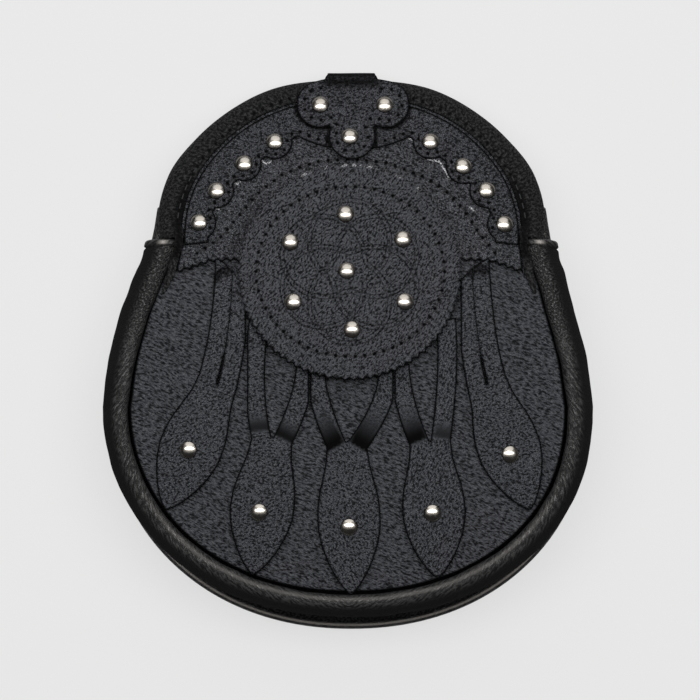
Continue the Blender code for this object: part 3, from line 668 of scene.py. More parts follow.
soft = nappa(
    "soft_nappa", valley=(0.001, 0.001, 0.001), crest=(0.0082, 0.0082, 0.0085),
    roughness=0.5, slant=70, stretch=1.3, pitch=0.85 * MM, depth=0.32 * MM,
)
soft.set(Specular_IOR_Level=0.04)
soft_leather = soft.material
gusset_low = 2 * BACK_ROLL_RADIUS + GAP
stations = np.linspace(0, 1, GUSSET_STATIONS)
gusset_backs, gusset_fronts = (
    picked(line, np.linspace(0, 1, len(line)), stations) for line in (
        along(back_seam(BACK_ROLL_RADIUS), GUSSET_STEP),
        along(front_seam(PIPING_RADIUS, BACK_ROLL_TOP), GUSSET_STEP),
    )
)
gusset_ahead = np.gradient(gusset_fronts, axis=0)
gusset_rings = []
for number, (back, ahead, way) in enumerate(zip(gusset_backs, gusset_fronts, gusset_ahead)):
    inwards = np.array((-way[1], way[0])) / np.hypot(*way)
    gusset_high = float(read(RIM, ahead[1])) + PIPING_LIFT - PIPING_RADIUS - 2 * GAP
    if ahead[1] > GUSSET_TOP[0][0] * MM:
        gusset_high = min(gusset_high, float(read(GUSSET_TOP, ahead[1])))
    reach = float(np.dot(ahead - back, inwards))
    share = np.linspace(0, 1, 15)
    pucker = PUCKER * np.sin(share * math.pi) * noise.noise((number * 0.32, 3.1, 0.7))
    fold = GUSSET_FOLD * np.sin(math.pi * share) + pucker
    ring = wall(
        np.column_stack([reach * share + fold, gusset_low + (gusset_high - gusset_low) * share]),
        -GUSSET_WALL,
    )
    ring[:, 1] = np.clip(ring[:, 1], gusset_low, gusset_high)
    gusset_rings.append(np.column_stack([back + inwards * ring[:, :1], ring[:, 1]]))
gusset = skin("gusset_leather", np.array(gusset_rings)[:, ::-1], soft_leather)
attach(gusset, "root")
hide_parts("gusset")

# ---------------------------------------------------------------------------------------------
# Front panel: grained leather, crowned over the pouch, with the mouth cut low under the flap. Its
# embossed grain runs across in short wavy wrinkles.

CROWN = 9.0 * MM
CROWN_POWER = 2.6
TOP_REACH = 118.3 * MM
MOUTH = 38.0 * MM
MOUTH_DIP = 3.0 * MM


def front(x, y):
    """Height of the pouch's crowned front face, which every piece laid on it follows."""
    up = y - WIDEST
    across = np.abs(x - middle(y)) / HALF_WIDTH
    lengthwise = np.abs(up) / np.where(up > 0, TOP_REACH, BACK_REACH)
    outwards = (across**SQUARENESS + lengthwise**SQUARENESS) ** (1 / SQUARENESS)
    return read(RIM, y) + CROWN * (1 - outwards**CROWN_POWER)


def laid(bed, thickness):
    """Leather on the front face: bed is how far above it, a length or a function of points."""

    def place(points):
        low = front(*points.T) + (bed(points) if callable(bed) else bed)
        return np.column_stack([points, low]), np.column_stack([points, low + thickness])

    return place


def rumpled(size, height, seed):
    """Soft unevenness of leather, as wide as size."""
    return lambda points: height * np.array(
        [noise.noise((x / size, y / size, seed)) for x, y in points]
    )


# Slots that the outer leaves' arms come out of, under the flap's edge, their arches painted dark as
# shade: leaf, points of the arch
SLOTS = {
    "leaf_far_left": ((-48.4, 25.2), (-48.1, 27.6), (-46.6, 29.4), (-44.4, 29.8), (-42.6, 28.6)),
    "leaf_far_right": (
        (43.2, 26.6), (44.1, 28.9), (45.9, 30.2), (47.9, 30.7), (49.6, 30.0), (50.6, 28.2),
    ),
}
slots = {leaf: along(np.array(line) * MM, 0.7 * MM) for leaf, line in SLOTS.items()}

wrinkled_leather = hide(
    "wrinkled_black_leather", valley=(0.0024, 0.0025, 0.0028), crest=(0.0292, 0.0302, 0.0334),
    pitch=0.82 * MM, stretch=2.3, depth=0.36 * MM, roughness=0.46,
)
panel_seam = front_seam(2 * PIPING_RADIUS + 2 * GAP, MOUTH)
mouth_share = np.linspace(1, 0, 60)[1:-1]
mouth = np.column_stack([
    panel_seam[0][0] + (panel_seam[-1][0] - panel_seam[0][0]) * mouth_share,
    MOUTH - MOUTH_DIP * np.sin(math.pi * mouth_share),
])
# The slots' arches are painted black on the panel: painted shade
front_panel = leather(
    "front_panel_leather", np.vstack([panel_seam, mouth]), laid(-PANEL_WALL, PANEL_WALL), 1.5 * MM,
    wrinkled_leather, creases=[(line, 0.5 * MM, 1.0 * MM, 1.0) for line in slots.values()],
    turn=-22, relief=rumpled(16 * MM, 0.22 * MM, seed=1.7),
)
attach(front_panel, "root")
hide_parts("front_panel")

# ---------------------------------------------------------------------------------------------
# Front seam: a fat roll of soft nappa over a filler cord, sewn round the front panel. Each upper
# end is folded over into a cap, drawn in by a groove below it.

# Length from an end of the front seam's roll, its radius: a folded cap, a groove, then the roll
PIPING_CAP = (
    (0, 3.6), (0.15, 4.7), (0.5, 5.4), (1.1, 5.8), (2.3, 5.85), (2.8, 5.5), (3.1, 5.0),
    (3.4, 5.35), (4.0, 5.6), (6, 5.4), (12, 5.0), (40, 4.75),
    (60, 4.45), (100, 4.35), (140, 4.2), (185, 3.95), (400, 3.95),
)
ROLL_SIDES = 40
ROLL_STEP = 0.8 * MM
ROLL_LEAN = 0.4
SIDE_ROLL = 0.3 * MM
CAP_ROWS = 30
CAP_STEP = 0.2 * MM
CAP_SHIFT = 1.3 * MM
CAP_SHEAR = 0.24
# Parts of the roll with painted highlights and with painted shade: how far out its sides lean in
# degrees, and where they fade
CAP_SHEEN_LEAN, LOW_SHEEN_LEAN = 13, -15
LOW_SHEEN = (-74 * MM, -45 * MM)
OUTER_FLANK_SHADE, INNER_FLANK_SHADE = (8, 48), (34, 66)
# The roll's unevenness: its height, and how long it is along the roll
ROLL_SWELLS = (0.22 * MM, 7 * MM)
ROLL_PUCKERS = (0.12 * MM, 5.5 * MM)

roll_line = along(
    seam(FRONT_SIDE, HALF_WIDTH, FRONT_REACH - SIDE_ROLL, PIPING_RADIUS - SIDE_ROLL, PIPING_TOP),
    ROLL_STEP,
)
roll_path = np.column_stack([roll_line, read(RIM, roll_line[:, 1]) + PIPING_LIFT])
roll_steps = lengths_of(roll_path)
from_end = np.minimum(roll_steps, roll_steps[-1] - roll_steps)
cap_rows = np.append(np.arange(CAP_ROWS) * CAP_STEP, 6.4 * MM)
roll_at = np.concatenate([cap_rows, roll_steps[from_end > 6.8 * MM], roll_steps[-1] - cap_rows[::-1]])
roll_path = picked(roll_path, roll_steps, roll_at)
from_end = np.minimum(roll_at, roll_steps[-1] - roll_at)
roll_radii = np.repeat(read(PIPING_CAP, from_end)[:, None], ROLL_SIDES, axis=1)
for row, (length, inner) in enumerate(zip(roll_at, from_end)):
    for side in range(ROLL_SIDES):
        turn = 2 * math.pi * side / ROLL_SIDES
        place_on = (length / ROLL_SWELLS[1], 1.4 * math.cos(turn), 1.4 * math.sin(turn))
        slant = (length / ROLL_PUCKERS[1] + turn * 1.3, math.cos(turn) * 0.9, 4.2)
        uneven = noise.noise(place_on) * ROLL_SWELLS[0] + noise.noise(slant) * ROLL_PUCKERS[0]
        roll_radii[row, side] += uneven * min(inner / (6 * MM), 1)
front_rings = roll_rings(roll_path, roll_radii, ROLL_SIDES)
# The filler leans inwards, so that the crest lies near the panel
inwards = np.cross((0, 0, 1), np.gradient(roll_path, axis=0))
inwards /= np.linalg.norm(inwards, axis=1)[:, None]
risen = np.maximum(front_rings[:, :, 2] - roll_path[:, 2:], 0)
front_rings += ROLL_LEAN * risen[..., None] * inwards[:, None]
# The caps are cut level, and sit a little inside the roll
capped = 1 - ease(3 * MM, 14 * MM, from_end)
side = np.sign(roll_path[:, 0])
front_rings[:, :, 1] -= (
    (capped * side * CAP_SHEAR)[:, None] * (front_rings[:, :, 0] - roll_path[:, :1])
)
front_rings[:, :, 0] -= (capped * side * CAP_SHIFT)[:, None]
# Painted highlights lie pale on its crest at the caps and along the bottom, and painted shade
# makes its flanks dark and dull
tilt = outward_tilt(ROLL_SIDES)
cap_sheen = ease(0.5 * MM, 1.1 * MM, from_end) * (1 - ease(1.7 * MM, 2.6 * MM, from_end))
low_sheen = 0.2 * (1 - ease(*LOW_SHEEN, roll_path[:, 1]))
painted_sheen = np.maximum(
    0.9 * (1 - ease(2, 24, np.abs(tilt - CAP_SHEEN_LEAN))) * cap_sheen[:, None],
    (1 - ease(3, 17, np.abs(tilt - LOW_SHEEN_LEAN))) * low_sheen[:, None],
)
near_cap = ease(2 * MM, 4 * MM, from_end) * (1 - ease(22 * MM, 55 * MM, from_end))
crumple = np.repeat(near_cap[:, None], ROLL_SIDES, axis=1)
flank_shade = np.maximum(ease(*OUTER_FLANK_SHADE, tilt), 0.85 * ease(*INNER_FLANK_SHADE, -tilt))
front_roll = skin(
    "front_seam_roll", front_rings, rolled_leather, mirrored=True, crumpled=crumple, worn=painted_sheen,
    hole=flank_shade * ease(0.5 * MM, 3.5 * MM, from_end)[:, None],
)
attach(front_roll, "root")
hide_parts("front_piping")

# ---------------------------------------------------------------------------------------------
# Closure: a flat metal snap between the flap's tongue and the front panel, hidden by the roundel.
# The frame's own solid stays in place and gets the nickel, and the layers over it are lifted.

SNAP_CENTRE = np.array((0.4, 6.0)) * MM
SNAP_RADIUS = 6.0 * MM
SNAP_WALL = 0.8 * MM
SNAP_SPREAD = 34.0 * MM
# Dark brown painted on the studs' rim: painted shade
RIM_SHADE_BROWN = (0.045, 0.033, 0.024)


def plated(name, colour, roughness):
    """Polished nickel: warm grey, with faint clouding, hairline scratches and painted shade at its
    rim.
    """
    made = Finish(name)
    clouds = made.clouds(made.place(), scale=900.0, detail=3.0)
    gloss = made.ramp(clouds, low=0.3, high=0.7, start=roughness - 0.04, end=roughness + 0.06)
    made.feed("Roughness", gloss)
    tint = made.blend(clouds, colour, [0.86 * c for c in colour])
    made.feed("Base Color", made.blend(made.weight("rim"), tint, RIM_SHADE_BROWN))
    made.emboss(clouds, depth=0.02 * MM, strength=0.4)
    made.set(Metallic=1.0)
    return made.material


nickel = plated("polished_nickel", (0.20, 0.187, 0.168), 0.22)
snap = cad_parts["flap_snap"]
snap.data.materials.clear()
snap.data.materials.append(nickel)


def snap_swell(points):
    """How far the closure under the flap lifts the layers that lie over it."""
    away = np.hypot(*(points - SNAP_CENTRE).T)
    return (SNAP_WALL + 2 * GAP) * (1 - ease(2 * SNAP_RADIUS, SNAP_SPREAD, away))


# ---------------------------------------------------------------------------------------------
# Leaf tassels: each is cut in one piece with two arms, which hang it from under the flap or from
# slits in the panel. Where the arms are drawn through to the leaf, the leather is creased smooth
# and painted dark: painted shade.

BED = 0.35 * MM
LEAF_WALL = 1.35 * MM
# A foot of an arm: half its width, and where it starts below its middle
FOOT_HALF = 4 * MM
FOOT_START = (-1.8 * MM, -0.7 * MM)
ARM_WIDTH = 7.3 * MM
SLIT = 0.25 * MM
# Leaf: name, shoulder x and y, tip x and y, half width, turn of its grain
LEAVES = (
    ("leaf_far_left", -47.7, -12.2, -66.6, -57.9, 11.5, 24),
    ("leaf_left", -27.9, -32.7, -34.9, -81.6, 11.7, 8),
    ("leaf_centre", -0.6, -34.6, 0.8, -88.8, 11.5, -35),
    ("leaf_right", 29.5, -33.8, 32.3, -82.8, 11.5, 62),
    ("leaf_far_right", 50.1, -12.2, 65.9, -57.9, 11.6, 4),
)
# Each leaf's arms, left then right: top x and y, bend x and y, limits left and right in x, where
# 99 is none
ARMS = {
    "leaf_far_left": ((-45.0, 34.2, -46.6, 10.9, -99, 99), (-39.6, 25.6, -40.8, 5.5, -99, -37.3)),
    "leaf_left": ((-32.6, 11.4, -34.0, -12.0, -36.9, 99), (-15.6, -5.1, -17.9, -18.1, -99, -14.4)),
    "leaf_centre": ((-12.3, -5.1, -10.3, -18.6, -14.0, 99), (13.9, -5.1, 12.3, -18.1, -99, 16.2)),
    "leaf_right": ((18.4, -5.1, 20.5, -18.9, 16.6, 99), (35.2, 11.4, 35.6, -8.6, -99, 40.2)),
    "leaf_far_right": ((42.0, 25.6, 43.6, 5.5, 40.6, 99), (47.4, 34.2, 49.6, 8.6, -99, 99)),
}
# Where an arm is drawn through: leaf, x, y, way of the arm in degrees, reach up it, darkness of
# its painted shade
DRAWN = (
    ("leaf_left", -31.6, -28.2, 95, 6.5, 0.85), ("leaf_left", -23.2, -31.4, 62, 8.0, 0.95),
    ("leaf_centre", -5.8, -34.8, 118, 18.0, 1.0), ("leaf_centre", 4.6, -34.8, 60, 19.0, 1.0),
    ("leaf_right", 23.8, -32.6, 112, 15.0, 1.0), ("leaf_right", 35.4, -31.0, 82, 6.5, 0.8),
)
# Share of the way from shoulder to tip, share of the half width
LEAF_PROFILE = (
    (0.0, 0.655), (0.1, 0.69), (0.21, 0.80), (0.32, 0.92), (0.42, 0.985), (0.52, 1.0),
    (0.63, 0.93), (0.75, 0.76), (0.87, 0.50), (0.96, 0.22), (1.0, 0.03),
)


def arm_edges(top, bend, foot, limits, side):
    """Outer and inner edge of an arm: a strip of even width on a curve, cut at its limits."""
    pull = 2 * bend - (top + foot) / 2
    t = np.linspace(0, 1, 40)[:, None]
    centre = top * (1 - t) ** 2 + pull * 2 * t * (1 - t) + foot * t * t
    way = (pull - top) * (1 - t) + (foot - pull) * t
    way /= np.linalg.norm(way, axis=1)[:, None]
    aside = np.column_stack([-way[:, 1], way[:, 0]]) * side * ARM_WIDTH / 2
    lines = []
    for line in (centre + aside, centre - aside):
        line[:, 0] = np.clip(line[:, 0], *limits)
        lines.append(line)
    return lines


def leaf_outline(shoulder, tip, half_width, arms):
    """Left arm, one side of the leaf, its tip, the other side, right arm, the slit between."""
    axis = tip - shoulder
    length = np.linalg.norm(axis)
    axis = axis / length
    across = np.array((-axis[1], axis[0]))
    share = np.linspace(0.1, 1, 60)
    width = smooth(LEAF_PROFILE, share)[:, None] * across * half_width
    spine = shoulder + share[:, None] * axis * length
    edges = []
    for side, arm in zip((-1, 1), arms):
        arm = np.array(arm) * MM
        foot = shoulder + across * side * (ARM_WIDTH + SLIT) / 2
        edges.append(arm_edges(arm[:2], arm[2:4], foot, arm[4:], side))
    (left_outer, left_inner), (right_outer, right_inner) = edges
    between = (left_inner + right_inner) / 2
    crossed = (right_inner[:, :1] - left_inner[:, :1]) < SLIT
    left_inner = np.where(crossed, between - (SLIT / 2, 0), left_inner)
    right_inner = np.where(crossed, between + (SLIT / 2, 0), right_inner)
    return np.vstack([
        left_outer[:-1], spine - width, (spine + width)[::-1], right_outer[:-1][::-1],
        right_inner, left_inner[::-1],
    ])


pebbled_leather = hide(
    "pebbled_black_leather", valley=(0.0028, 0.0029, 0.0032), crest=(0.0334, 0.0346, 0.0385),
    pitch=0.8 * MM, stretch=1.35, depth=0.36 * MM, roughness=0.45, sharp=0.12, cells=0.45,
)


def arm_feet(points, feet):
    """How far leather is gathered at the feet of arms, how dark its painted shade is and how deep.

    feet are rows of x, y, way up the arm in degrees, how far up it reaches and how dark it is
    painted as shade.
    """
    gathered, dark, deep = np.zeros((3, len(points)))
    for x, y, way, reach, shade in feet:
        turned = np.radians(way)
        offset = points - (x, y)
        ahead = offset @ (math.cos(turned), math.sin(turned))
        across = offset @ (-math.sin(turned), math.cos(turned)) / FOOT_HALF
        spot = ease(*FOOT_START, ahead) * (1 - ease(0.05 * reach, reach, ahead))
        spot = spot * (1 - ease(0.95, 1.3, np.abs(across)))
        folds = 0.5 + 0.5 * np.cos(9 * across + 0.4 * ahead / MM)
        gathered = np.maximum(gathered, spot)
        dark = np.maximum(dark, shade * spot)
        deep = deep + spot * (0.25 + 0.4 * folds) * MM
    return gathered, dark, deep


def close_arms(points):
    """The slit between the outer leaves' arms is closed above: the painted shade line along it is
    full only at its foot.
    """
    near = 1 - ease(0.8 * MM, 2 * MM, distance(points, outline[-80:], closed=False))
    return 1 - 0.8 * near * ease(shoulder[1] + 8 * MM, shoulder[1] + 14 * MM, points[:, 1])


for name, shoulder_x, shoulder_y, tip_x, tip_y, half_width, turn in LEAVES:
    shoulder = np.array((shoulder_x, shoulder_y)) * MM
    tip = np.array((tip_x, tip_y)) * MM
    outline = leaf_outline(shoulder, tip, half_width * MM, ARMS[name])
    feet = [
        (x * MM, y * MM, way, reach * MM, dark)
        for leaf, x, y, way, reach, dark in DRAWN if leaf == name
    ]
    folds = []
    # Round a slot the arm is painted dark along the arch and in the hollow below it: painted shade
    if name in SLOTS:
        slot = slots[name]
        hollow = slot.mean(axis=0) + 0.55 * (slot - slot.mean(axis=0)) - (0, 0.9 * MM)
        folds = [(slot, 0.5 * MM, 1.0 * MM, 1.0), (hollow, 0.5 * MM, 2.0 * MM, 0.9)]
    leaf = leather(
        name + "_leather", outline, laid(BED, LEAF_WALL), 1.1 * MM, pebbled_leather,
        creases=folds, drawn=lambda points: arm_feet(points, feet), turn=turn,
        rounding=0.45 * MM, relief=rumpled(9 * MM, 0.16 * MM, seed=tip_x),
        outlined=close_arms if name in SLOTS else everywhere,
    )
    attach(leaf, "root")
    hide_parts(name)

# ---------------------------------------------------------------------------------------------
# Flap: grained leather from the top edge down to pinked lower corners, with a tongue that is
# hidden by the roundel. A row of stitches arches over the roundel.

FLAP_WALL = 1.8 * MM
FLAP_TUCK = 4.5 * MM
FLAP_SIDE = 61.0 * MM
FLAP_SHOULDER = 40 * MM
TONGUE_RADIUS = 33.0 * MM
ROUNDEL_CENTRE = np.array((0.25, 28.4)) * MM
PINK_PITCH = 3.1 * MM
PINK_DEPTH = 1.2 * MM
STITCH_PITCH = 3.5 * MM
THREAD_RADIUS = 0.28 * MM
# Half a stitch as a share of its pitch, how high its bow's control point lies as a share of its
# crest, and how deep its ends lie in the leather
STITCH_HALF = 0.29
STITCH_LIFT = 2.2
STITCH_SINK = 0.3 * MM
# Lower edges of the flap, from the tail to the roundel: distance from the middle line, height
FLAP_EDGE = ((63.0, 28.3), (58.0, 29.8), (51.0, 32.4), (43.0, 32.7), (32.9, 32.7))
# Stitched arch on the flap: x, y
FLAP_ARCH = (
    (-55.2, 35.1), (-47.2, 40.2), (-42.6, 45.6), (-38.2, 50.9), (-33.5, 56.5), (-24.0, 64.0),
    (-12.0, 68.4), (0.5, 69.6), (14.0, 68.0), (28.8, 62.4), (35.3, 57.8), (40.4, 52.7),
    (44.7, 46.6), (48.6, 40.7), (53.1, 35.3),
)
# Fold that wear has pressed into the flap beside the roundel, painted darker as shade: x, y
FLAP_VALLEY = ((-31.5, 53.0), (-35.5, 48.6), (-39.0, 43.0), (-41.8, 36.8), (-43.0, 33.8))
# Rubbed lines on the flap, below the yoke's points: x, y
FLAP_SCUFFS = (
    ((-31.4, 68.7), (-29.9, 67.8), (-28.7, 68.4)), ((-41.6, 60.9), (-40.3, 60.3), (-39.6, 61.2)),
    ((-48.2, 51.6), (-47.2, 51.0)), ((-24.0, 77.6), (-20.6, 77.3)),
    ((28.8, 69.5), (33.2, 68.4), (35.3, 64.7), (36.1, 63.3)), ((37.5, 62.6), (39.3, 61.1)),
    ((44.0, 51.9), (45.4, 50.9)), ((21.6, 77.2), (25.4, 75.6)),
)


def pinked(line, pitch, depth, closed=False):
    """A line cut with pinking shears: even teeth, half in and half out."""
    points = along(line, pitch / 2, closed)
    if closed and len(points) % 2:
        points = along(line, pitch / 2 * len(points) / (len(points) - 1), closed)
    side = np.where(np.arange(len(points)) % 2, -0.5, 0.5)[:, None] * depth
    return points + side * (beside(points, 1, closed) - points)


def geometry_tree(name, inputs, output):
    """A node tree with named inputs and one named output, and the sockets of its inputs."""
    tree = bpy.data.node_groups.new(name, "GeometryNodeTree")
    for label, kind in inputs:
        tree.interface.new_socket(label, in_out="INPUT", socket_type="NodeSocket" + kind)
    tree.interface.new_socket(output, in_out="OUTPUT", socket_type="NodeSocketGeometry")
    return tree, tree.nodes.new("NodeGroupInput").outputs


def vector_socket(sockets, name):
    """The vector among a node's sockets of one name."""
    return [s for s in sockets if s.name == name and s.type == "VECTOR"][0]


def tree_end(tree, instances, material):
    """Realize a tree's instances, give them their material and end the tree."""
    real = wired(tree, "GeometryNodeRealizeInstances", ("Geometry", instances)).outputs[0]
    done = wired(tree, "GeometryNodeSetMaterial", ("Geometry", real), ("Material", material))
    tree.links.new(done.outputs[0], tree.nodes.new("NodeGroupOutput").inputs[0])
    return tree


def thread_tree():
    """Node tree: a stitch for each edge of the guide line, drawn down into the leather."""
    tree, given = geometry_tree("saddle_stitches", (
        ("Holes", "Geometry"), ("Thread radius", "Float"), ("Rise", "Float"),
        ("Thread", "Material"),
    ), "Stitches")

    def add(kind, *links, **values):
        return wired(tree, kind, *links, **values).outputs

    ends = add("GeometryNodeInputMeshEdgeVertices")
    run = add(
        "ShaderNodeVectorMath", (0, ends["Position 2"]), (1, ends["Position 1"]),
        operation="SUBTRACT",
    )["Vector"]
    marked = wired(
        tree, "GeometryNodeStoreNamedAttribute", ("Geometry", given["Holes"]), ("Name", "run"),
        data_type="FLOAT_VECTOR", domain="EDGE",
    )
    tree.links.new(run, vector_socket(marked.inputs, "Value"))
    spots = add("GeometryNodeMeshToPoints", ("Mesh", marked.outputs[0]), mode="EDGES")[0]
    kept = vector_socket(
        add("GeometryNodeInputNamedAttribute", ("Name", "run"), data_type="FLOAT_VECTOR"),
        "Attribute",
    )
    aim = add(
        "FunctionNodeAxesToRotation", ("Primary Axis", kept), ("Secondary Axis", (0, 0, 1)),
        primary_axis="X", secondary_axis="Z",
    )[0]
    span = add("ShaderNodeVectorMath", (0, kept), operation="LENGTH")["Value"]
    size = add("ShaderNodeCombineXYZ", ("X", span), ("Y", 1.0), ("Z", 1.0))[0]
    lift = add("ShaderNodeMath", (0, given["Rise"]), (1, STITCH_LIFT), operation="MULTIPLY")[0]
    bow = add(
        "GeometryNodeCurveQuadraticBezier", ("Resolution", 6), ("Start", (-STITCH_HALF, 0, 0)),
        ("Middle", add("ShaderNodeCombineXYZ", ("Z", lift))[0]), ("End", (STITCH_HALF, 0, 0)),
    )[0]
    section = add(
        "GeometryNodeCurvePrimitiveCircle", ("Resolution", 6), ("Radius", given["Thread radius"]),
    )[0]
    tube = add(
        "GeometryNodeCurveToMesh", ("Curve", bow), ("Profile Curve", section), ("Fill Caps", True),
    )[0]
    soft_tube = add("GeometryNodeSetShadeSmooth", ("Geometry", tube))[0]
    sewn = add(
        "GeometryNodeInstanceOnPoints", ("Points", spots), ("Instance", soft_tube),
        ("Rotation", aim), ("Scale", size),
    )[0]
    return tree_end(tree, sewn, given["Thread"])


def grown(name, guide, tree, **inputs):
    """The plain mesh that a node tree makes from a guide, without its modifier."""
    modifier = guide.modifiers.new(name, "NODES")
    modifier.node_group = tree
    for item in tree.interface.items_tree:
        label = item.name.replace(" ", "_").lower()
        if item.in_out == "INPUT" and label in inputs:
            modifier[item.identifier] = inputs[label]
    graph = bpy.context.evaluated_depsgraph_get()
    mesh = bpy.data.meshes.new_from_object(guide.evaluated_get(graph), depsgraph=graph)
    guide.modifiers.clear()
    bpy.data.objects.remove(guide)
    return in_scene(name, mesh)


def waxed_thread(name, colour):
    """Waxed black thread, twisted: fine slanting plies with a dull sheen."""
    made = Finish(name)
    plies = made.clouds(made.place(), scale=2600.0, detail=2.0)
    made.feed("Base Color", made.blend(plies, [0.5 * c for c in colour], colour))
    made.emboss(plies, depth=0.06 * MM)
    made.set(Roughness=0.7, Specular_IOR_Level=0.1)
    return made.material


stitches = thread_tree()
thread = waxed_thread("waxed_black_thread", (0.0085, 0.0085, 0.0095))


def sew(name, rows, height, rise=0.2 * MM):
    """Saddle stitches through rows of holes, drawn into leather whose face height gives."""
    points = []
    edges = []
    for holes, closed in rows:
        first = len(points)
        points.extend((x, y, z) for (x, y), z in zip(holes, height(holes) - STITCH_SINK))
        edges.extend((first + i, first + i + 1) for i in range(len(holes) - 1))
        if closed:
            edges.append((len(points) - 1, first))
    mesh = bpy.data.meshes.new(name)
    mesh.from_pydata(points, edges, [])
    guide = in_scene(name + "_guide", mesh)
    done = grown(name, guide, stitches, thread_radius=THREAD_RADIUS, rise=rise, thread=thread)
    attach(done, "root")


creased_leather = hide(
    "creased_black_leather", valley=(0.003, 0.0031, 0.0034), crest=(0.0400, 0.0410, 0.0452),
    pitch=0.8 * MM, stretch=1.4, depth=0.38 * MM, roughness=0.44, sharp=0.14, cells=0.6, sway=3.0,
)


def flap_bed(points):
    return BED + snap_swell(points)


def over(place):
    """Height of the upper face of a piece that is laid by place."""
    return lambda points: place(np.asarray(points))[1][:, 2]


flap_angles = np.arange(4, 177, 0.8)
flap_arc = arc_point(flap_angles, band_radius(flap_angles, 1) - FLAP_TUCK)
flap_low = {}
for side in (-1, 1):
    flap_low[side] = pinked(
        [(middle(y * MM) + side * across * MM, y * MM) for across, y in FLAP_EDGE],
        PINK_PITCH, PINK_DEPTH,
    )
tongue_start = math.asin((FLAP_EDGE[-1][1] * MM - ROUNDEL_CENTRE[1]) / TONGUE_RADIUS)
tongue_turn = np.linspace(math.pi - tongue_start, 2 * math.pi + tongue_start, 120)[1:-1]
flap_line = np.vstack([
    flap_arc, (middle(FLAP_SHOULDER) - FLAP_SIDE, FLAP_SHOULDER), flap_low[-1],
    ROUNDEL_CENTRE + TONGUE_RADIUS * round_points(tongue_turn),
    flap_low[1][::-1], (middle(FLAP_SHOULDER) + FLAP_SIDE, FLAP_SHOULDER),
])
scuffs = [along(np.array(line) * MM, 0.6 * MM) for line in FLAP_SCUFFS]


def scuffed(points):
    """1 where the flap's grain is rubbed white, between the lobes of the yoke."""
    away = np.min([distance(points, line, closed=False) for line in scuffs], axis=0)
    return 1 - ease(0.1 * MM, 0.5 * MM, away)


arch = along(np.array(FLAP_ARCH) * MM, 2 * MM)
arch_holes = along(arch, STITCH_PITCH)
flap_place = laid(flap_bed, FLAP_WALL)
flap = leather(
    "flap_leather", flap_line, flap_place, 1.4 * MM, creased_leather, holes=arch_holes,
    creases=(
        (arch, 0.16 * MM, 1.1 * MM, 0.0), (beside(arch, 2.2 * MM, False), 0.14 * MM, 0.7 * MM, 0.0),
        (along(np.array(FLAP_VALLEY) * MM, 2 * MM), 0.5 * MM, 3.0 * MM, 0.35),
        *((line, 0.0, 0.5 * MM, 0.0) for line in scuffs),
    ),
    turn=-12, wear=scuffed, relief=rumpled(13 * MM, 0.22 * MM, seed=5.2),
)
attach(flap, "root")
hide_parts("flap")
sew("flap_stitching", [(arch_holes, False)], over(flap_place))

# ---------------------------------------------------------------------------------------------
# Top band: soft nappa folded over the flap's raw edge, from its face round to the back, and sewn
# through. Its ends run down inside the front seam as two slim tails.

YOKE_BED = BED + FLAP_WALL + GAP
BAND_BED = BED + FLAP_WALL + 1.6 * GAP
BAND_WALL = 1.3 * MM
TAIL_WALL = 1.0 * MM
BAND_LOW = 4.3 * MM
BAND_SIDE_LOW = 15.0 * MM
BAND_END = -3.6
BAND_STEPS = 560
BAND_PUFF = 0.25 * MM
BAND_SEAM = 1.9 * MM
BAND_STITCHED = ((2, 68), (112, 178))
SEAM_DIP = 0.2 * MM
SEAM_HALF = 0.75 * MM
BAND_RIPPLE = 0.18 * MM
BAND_PRICK = 0.4 * MM
BAND_EDGE = 0.55 * MM
BAND_EDGE_DIP = 0.5 * MM
TAIL_RISE = (33.5 * MM, 40.5 * MM)
# Height, distance from the middle line, width of the band's tail
BAND_TAIL = (
    (20.5, 67.6, 0.8), (23.5, 66.6, 2.4), (28.5, 65.0, 3.2), (34, 63.9, 3.4),
    (37.5, 62.8, 3.0), (40.5, 62.6, 3.0), (45, 63.0, 3.4),
)
# Share of the band's width from its inner edge, share of its depth below the top
BAND_SECTION = (
    (0.0, 0.02), (0.12, 0.0), (0.3, 0.0), (0.6, 0.01), (0.85, 0.12), (1.0, 0.42), (0.93, 0.76),
    (0.7, 1.0), (0.3, 1.0),
)


def curved(line, count):
    """A smooth curve through the points of a line, in count even steps."""
    line = np.array(line, float)
    padded = np.vstack([2 * line[0] - line[1], line, 2 * line[-1] - line[-2]])
    dense = []
    for a, b, c, d in zip(padded, padded[1:], padded[2:], padded[3:]):
        for t in np.linspace(0, 1, 12, endpoint=False):
            dense.append(0.5 * (
                2 * b + (c - a) * t + (2 * a - 5 * b + 4 * c - d) * t * t
                + (3 * b - a - 3 * c + d) * t**3
            ))
    dense = np.array([*dense, line[-1]])
    lengths = lengths_of(dense)
    return picked(dense, lengths, np.linspace(0, lengths[-1], count))


